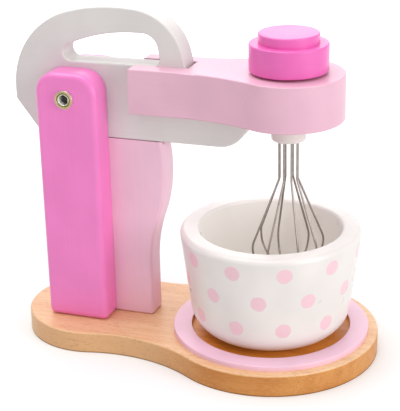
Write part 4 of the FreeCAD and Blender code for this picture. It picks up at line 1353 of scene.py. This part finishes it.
@dataclass
class Hardware:
    """The pivot screw, its sleeve nut and the base screws.

    The head, pin, thread, screw_head, screw_shank and star are radii, and head_bevel is a width and
    a depth. A root and the thread's end are shares of their thread's radius, and the crest is two
    shares of the pitch. The pin_to and nut_bore_to are distances from the middle of the toy.
    """

    head: float = 0.0065
    head_tall: float = 0.0080
    head_bevel: tuple[float, float] = (0.00060, 0.00018)
    edge: float = 0.0002
    groove_in: float = 0.0016
    groove_wide: float = 0.0009
    groove_deep: float = 0.0003
    flats: float = 0.0060
    socket_deep: float = 0.0040
    socket_point: float = 0.0006
    mouth_wide: float = 0.0003
    mouth_levels: tuple[float, float] = (0.00050, 0.00005)
    pin: float = 0.0040
    pin_to: float = 0.00935
    nut_bore_to: float = 0.0233
    thread: float = 0.0030
    thread_play: float = 0.00005
    thread_root: float = 0.86
    thread_end: float = 0.70
    crest: tuple[float, float] = (0.45, 0.55)
    pitch: float = 0.00125
    screw_head: float = 0.0042
    screw_brim: float = 0.0001
    screw_shank: float = 0.0020
    screw_neck: float = 0.0004
    screw_root: float = 0.72
    screw_crest: tuple[float, float] = (0.0007, 0.0008)
    screw_flank: float = 0.0015
    screw_pitch: float = 0.0016
    screw_tip: float = 0.0040
    star: float = 0.00165
    star_wave: float = 0.00030
    star_deep: float = 0.0014
    star_point: float = 0.0002

    def build(self) -> None:
        """Make the pivot's two fasteners and set the six base screws."""
        low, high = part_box("pivot_bolt")
        pin_end = low.y - self.pin_to
        screw = [(self.pin, pin_end), *self.thread_rings(pin_end, low.y - high.y)]
        middle = Vector(((low.x + high.x) / 2, low.y, (low.z + high.z) / 2))
        self.fastener("pivot_screw", screw, middle, 90.0, "pivot_bolt")
        low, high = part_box("pivot_nut")
        bore = self.thread + self.thread_play
        bore_end = self.nut_bore_to - high.y
        sleeve = [(self.pin, low.y - high.y), (bore, low.y - high.y), (bore, bore_end), (0, bore_end)]
        middle.y = high.y
        self.fastener("pivot_sleeve_nut", sleeve, middle, -90.0, "pivot_nut")
        self.base_screws()

    def hexagon(self, turn: float) -> float:
        """Distance from the axis to the hex socket's wall at an angle."""
        return self.flats / 2 / math.cos((turn + math.pi / 6) % (math.pi / 3) - math.pi / 6)

    def head_rings(self) -> list[Ring]:
        """The pivot's head, from the socket's floor over the grooved face to its underside.

        Returns:
            Rings as (radius, height), the face at 0.
        """
        mouth = self.flats / math.sqrt(3) + self.mouth_wide
        groove, underside = self.head - self.groove_in, -self.head_tall
        return [(0, -self.socket_deep - self.socket_point), (self.hexagon, -self.socket_deep),
                (self.hexagon, -self.mouth_levels[0]), (mouth, -self.mouth_levels[1]),
                (mouth + self.mouth_wide, 0.0),
                (groove - self.groove_wide, 0.0), (groove - self.groove_wide + self.edge, -self.groove_deep),
                (groove - self.edge, -self.groove_deep), (groove, 0.0),
                (self.head - self.head_bevel[0], 0.0), (self.head - self.edge, -self.head_bevel[1]),
                (self.head, -self.head_bevel[0]),
                (self.head, underside + self.edge), (self.head - self.edge, underside)]

    def thread_rings(self, start: float, end: float) -> list[Ring]:
        """A thread's crests and roots.

        Args:
            start: the level of its first root.
            end: the level of its end.

        Returns:
            Rings as (radius, height).
        """
        root = self.thread * self.thread_root
        rings: list[Ring] = [(root, start)]
        level = start
        while level - self.pitch > end:
            rings += [(self.thread, level - self.pitch * part) for part in self.crest]
            rings.append((root, level - self.pitch))
            level -= self.pitch
        return rings + [(self.thread * self.thread_end, end), (0, end)]

    def fastener(self, name: str, body: list[Ring], face: Vector, tilt: float, node: str) -> None:
        """Turn one of the pivot's fasteners.

        Args:
            name: the piece's name.
            body: its rings from the pin under its head to its end.
            face: the middle of its face.
            tilt: degrees from looking up to looking the way it does.
            node: the frame node that it stands for.
        """
        rings = [*self.head_rings(), (self.pin, -self.head_tall), *body]
        place = Matrix.Translation(face) @ Matrix.Rotation(math.radians(tilt), 4, "X")
        piece = turned_piece(name, rings[::-1], place, segments=72, sharp=28.0)
        dress(piece, replace(PIVOT_ZINC, axis=(face.x, face.z), face=abs(face.y)), "base", node)

    def base_screws(self) -> None:
        """Repeat one screw at the six places that the frame holds."""
        places = self.screw_places()
        mesh = bpy.data.meshes.new("screw_places")
        mesh.from_pydata(places, [], [])
        host = linked("screw_places", mesh)
        pattern = self.screw(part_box("base_screws")[1].z - places[0].z)
        tree = GeometryTree("base_screws", [
            TreeInput("Screw", "NodeSocketObject", pattern),
            TreeInput("Finish", "NodeSocketMaterial", SCREW_ZINC.material())])
        points = tree.sheet.add("GeometryNodeMeshToPoints", {0: tree.socket("Geometry")}).outputs[0]
        screw = tree.sheet.add("GeometryNodeObjectInfo", {"Object": tree.socket("Screw")})
        tree.close(tree.sheet.add("GeometryNodeInstanceOnPoints", {
            "Points": points, "Instance": screw.outputs["Geometry"]}).outputs[0])
        piece = tree.apply(host, "base_screws_set")
        bpy.data.objects.remove(pattern)
        dress(piece, SCREW_ZINC, "base", "base_screws")

    def screw_places(self) -> list[Vector]:
        """The middle of each screw's head, read from the frame's fastener solids.

        Returns:
            Two places under each post and two under the column.
        """
        low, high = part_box("base_screws")
        posts = [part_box(name) for name in ("left_post", "right_post")]
        middle = (posts[0][0].x + posts[0][1].x) / 2
        off = middle - (low.x + self.screw_head)
        places = [Vector((middle + side * off, (ends[0].y + ends[1].y) / 2, low.z))
                  for ends in posts for side in (-1, 1)]
        return places + [Vector((middle, 0, low.z)), Vector((high.x - self.screw_head, 0, low.z))]

    def star_wall(self, turn: float) -> float:
        """Distance from the axis to the star recess's wall at an angle."""
        return self.star + self.star_wave * math.cos(6 * turn)

    def screw(self, tall: float) -> bpy.types.Object:
        """One countersunk screw with a star recess, its face at level 0 and its tip up.

        Args:
            tall: its length.

        Returns:
            The screw.
        """
        slope = self.screw_head - self.screw_shank
        rings: list[Ring] = [
            (0, self.star_deep + self.star_point), (self.star_wall, self.star_deep), (self.star_wall, 0.0),
            (self.screw_head - self.edge, 0.0), (self.screw_head, self.screw_brim),
            (self.screw_shank, slope)]
        level, root = slope + self.screw_neck, self.screw_shank * self.screw_root
        while level + self.screw_pitch < tall - self.screw_tip:
            rings.append((root, level))
            rings += [(self.screw_shank, level + up) for up in self.screw_crest]
            rings.append((root, level + self.screw_flank))
            level += self.screw_pitch
        rings += [(root, tall - self.screw_tip), (0, tall)]
        return turned_piece("screw_pattern", rings, Matrix.Identity(4), segments=48, sharp=28.0)


@dataclass(frozen=True)
class Lamp:
    """A square area lamp."""

    name: str
    spot: tuple[float, float, float]
    size: float
    power: float

    def build(self, aim: Vector) -> None:
        """Hang the lamp so that it faces the aim.

        Args:
            aim: the point that it faces.
        """
        light = bpy.data.lights.new(self.name, "AREA")
        light.size = self.size
        light.energy = self.power
        away = (aim - Vector(self.spot)).normalized()
        turn = away.to_track_quat("-Z", "Y").to_matrix().to_4x4()
        linked(self.name, light).matrix_world = Matrix.Translation(self.spot) @ turn


@dataclass
class Studio:
    """A plain pale floor, soft lamps and the camera.

    The floor glows where it is seen, and the glow rises over its reach. The camera sees as far as
    its sight.
    """

    eye: tuple[float, float, float] = (0.22835, -0.77798, 0.42371)
    yaw: float = math.radians(19.7206)
    pitch: float = math.radians(21.4329)
    roll: float = math.radians(-1.3407)
    focal_pixels: float = 1288.80
    frame_pixels: float = 411.0
    sensor: float = 36.0
    sight: float = 20.0
    ambient: float = 0.45
    floor_reach: float = 4.0
    floor_level: float = -0.0001
    floor_grey: float = 0.74
    glow_reach: tuple[float, float] = (0.25, 0.80)
    glow_strength: tuple[float, float] = (0.235, 0.75)
    aim: tuple[float, float, float] = (-0.04, 0.0, 0.10)
    lamps: list[Lamp] = field(default_factory=lambda: [
        Lamp("key_lamp", (1.15, -0.46, 0.50), 0.70, 7.5),
        Lamp("top_lamp", (-0.32, 0.03, 1.35), 1.20, 13.2),
        Lamp("fill_lamp", (-0.10, -1.45, 0.60), 1.20, 1.3),
        Lamp("back_lamp", (-0.45, 1.45, 0.85), 1.30, 4.5)])

    def build(self) -> None:
        """Set the floor, the world, the lamps and the camera."""
        self.floor()
        self.world()
        for lamp in self.lamps:
            lamp.build(Vector(self.aim))
        self.camera()
        bpy.context.scene.view_settings.view_transform = "Standard"

    def floor(self) -> None:
        """A white sheet that keeps the shadow and reads white to the camera."""
        mesh = bpy.data.meshes.new("floor")
        corners = [(x * self.floor_reach, y * self.floor_reach, self.floor_level)
                   for x, y in ((-1, -1), (1, -1), (1, 1), (-1, 1))]
        mesh.from_pydata(corners, [], [(0, 1, 2, 3)])
        floor = linked("floor", mesh)
        made = bpy.data.materials.new("studio_floor")
        made.use_nodes = True
        made.node_tree.nodes.clear()
        sheet = NodeSheet(made.node_tree)
        grey = (self.floor_grey, self.floor_grey, self.floor_grey, 1.0)
        matte = sheet.add("ShaderNodeBsdfDiffuse", {"Color": grey}).outputs[0]
        place = sheet.add("ShaderNodeTexCoord").outputs["Object"]
        away = sheet.add("ShaderNodeVectorMath", {0: place}, operation="LENGTH").outputs[1]
        strength = sheet.band(away, *self.glow_reach, *self.glow_strength)
        glow = sheet.add("ShaderNodeEmission", {"Strength": sheet.product(self.seen(sheet), strength)})
        both = sheet.add("ShaderNodeAddShader", {0: matte, 1: glow.outputs[0]}).outputs[0]
        sheet.add("ShaderNodeOutputMaterial", {"Surface": both})
        mesh.materials.append(made)

    @staticmethod
    def seen(sheet: NodeSheet) -> Socket:
        """1 where the camera, a gloss or a clear piece looks, 0 for the light on the object.

        Args:
            sheet: the nodes of the floor or the world.

        Returns:
            The share.
        """
        path = sheet.add("ShaderNodeLightPath").outputs
        share = sheet.maths("ADD", path["Is Camera Ray"], path["Is Glossy Ray"])
        return sheet.maths("ADD", share, path["Is Transmission Ray"], clamp=True)

    def world(self) -> None:
        """White where it is seen, soft even light elsewhere."""
        world = bpy.data.worlds.new("studio_world")
        world.use_nodes = True
        world.node_tree.nodes.clear()
        sheet = NodeSheet(world.node_tree)
        strength = sheet.maths("MULTIPLY_ADD", self.seen(sheet), 1.0 - self.ambient, self.ambient)
        glow = sheet.add("ShaderNodeBackground", {"Color": (1, 1, 1, 1), "Strength": strength})
        sheet.add("ShaderNodeOutputWorld", {"Surface": glow.outputs[0]})
        bpy.context.scene.world = world

    def camera(self) -> None:
        """The camera, placed by its aim and roll."""
        ahead = Vector((-math.sin(self.yaw) * math.cos(self.pitch),
                        math.cos(self.yaw) * math.cos(self.pitch), -math.sin(self.pitch)))
        right = Vector((math.cos(self.yaw), math.sin(self.yaw), 0))
        up = right.cross(ahead)
        side = right * math.cos(self.roll) + up * math.sin(self.roll)
        top = up * math.cos(self.roll) - right * math.sin(self.roll)
        lens = bpy.data.cameras.new("camera")
        lens.sensor_fit = "VERTICAL"
        lens.sensor_height = self.sensor
        lens.lens = self.sensor * self.focal_pixels / self.frame_pixels
        lens.clip_end = self.sight
        camera = linked("camera", lens)
        turn = Matrix((side, top, -ahead)).transposed().to_4x4()
        camera.matrix_world = Matrix.Translation(self.eye) @ turn
        bpy.context.scene.camera = camera


def main() -> None:
    """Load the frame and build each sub-assembly."""
    logging.basicConfig(level=logging.INFO, format="%(name)s %(message)s")
    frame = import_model()
    Studio().build()
    BaseAndPosts().build(frame)
    Bowl().build()
    Head().build(frame)
    Whisk().build()
    Hardware().build()


if __name__ == "__main__":
    main()
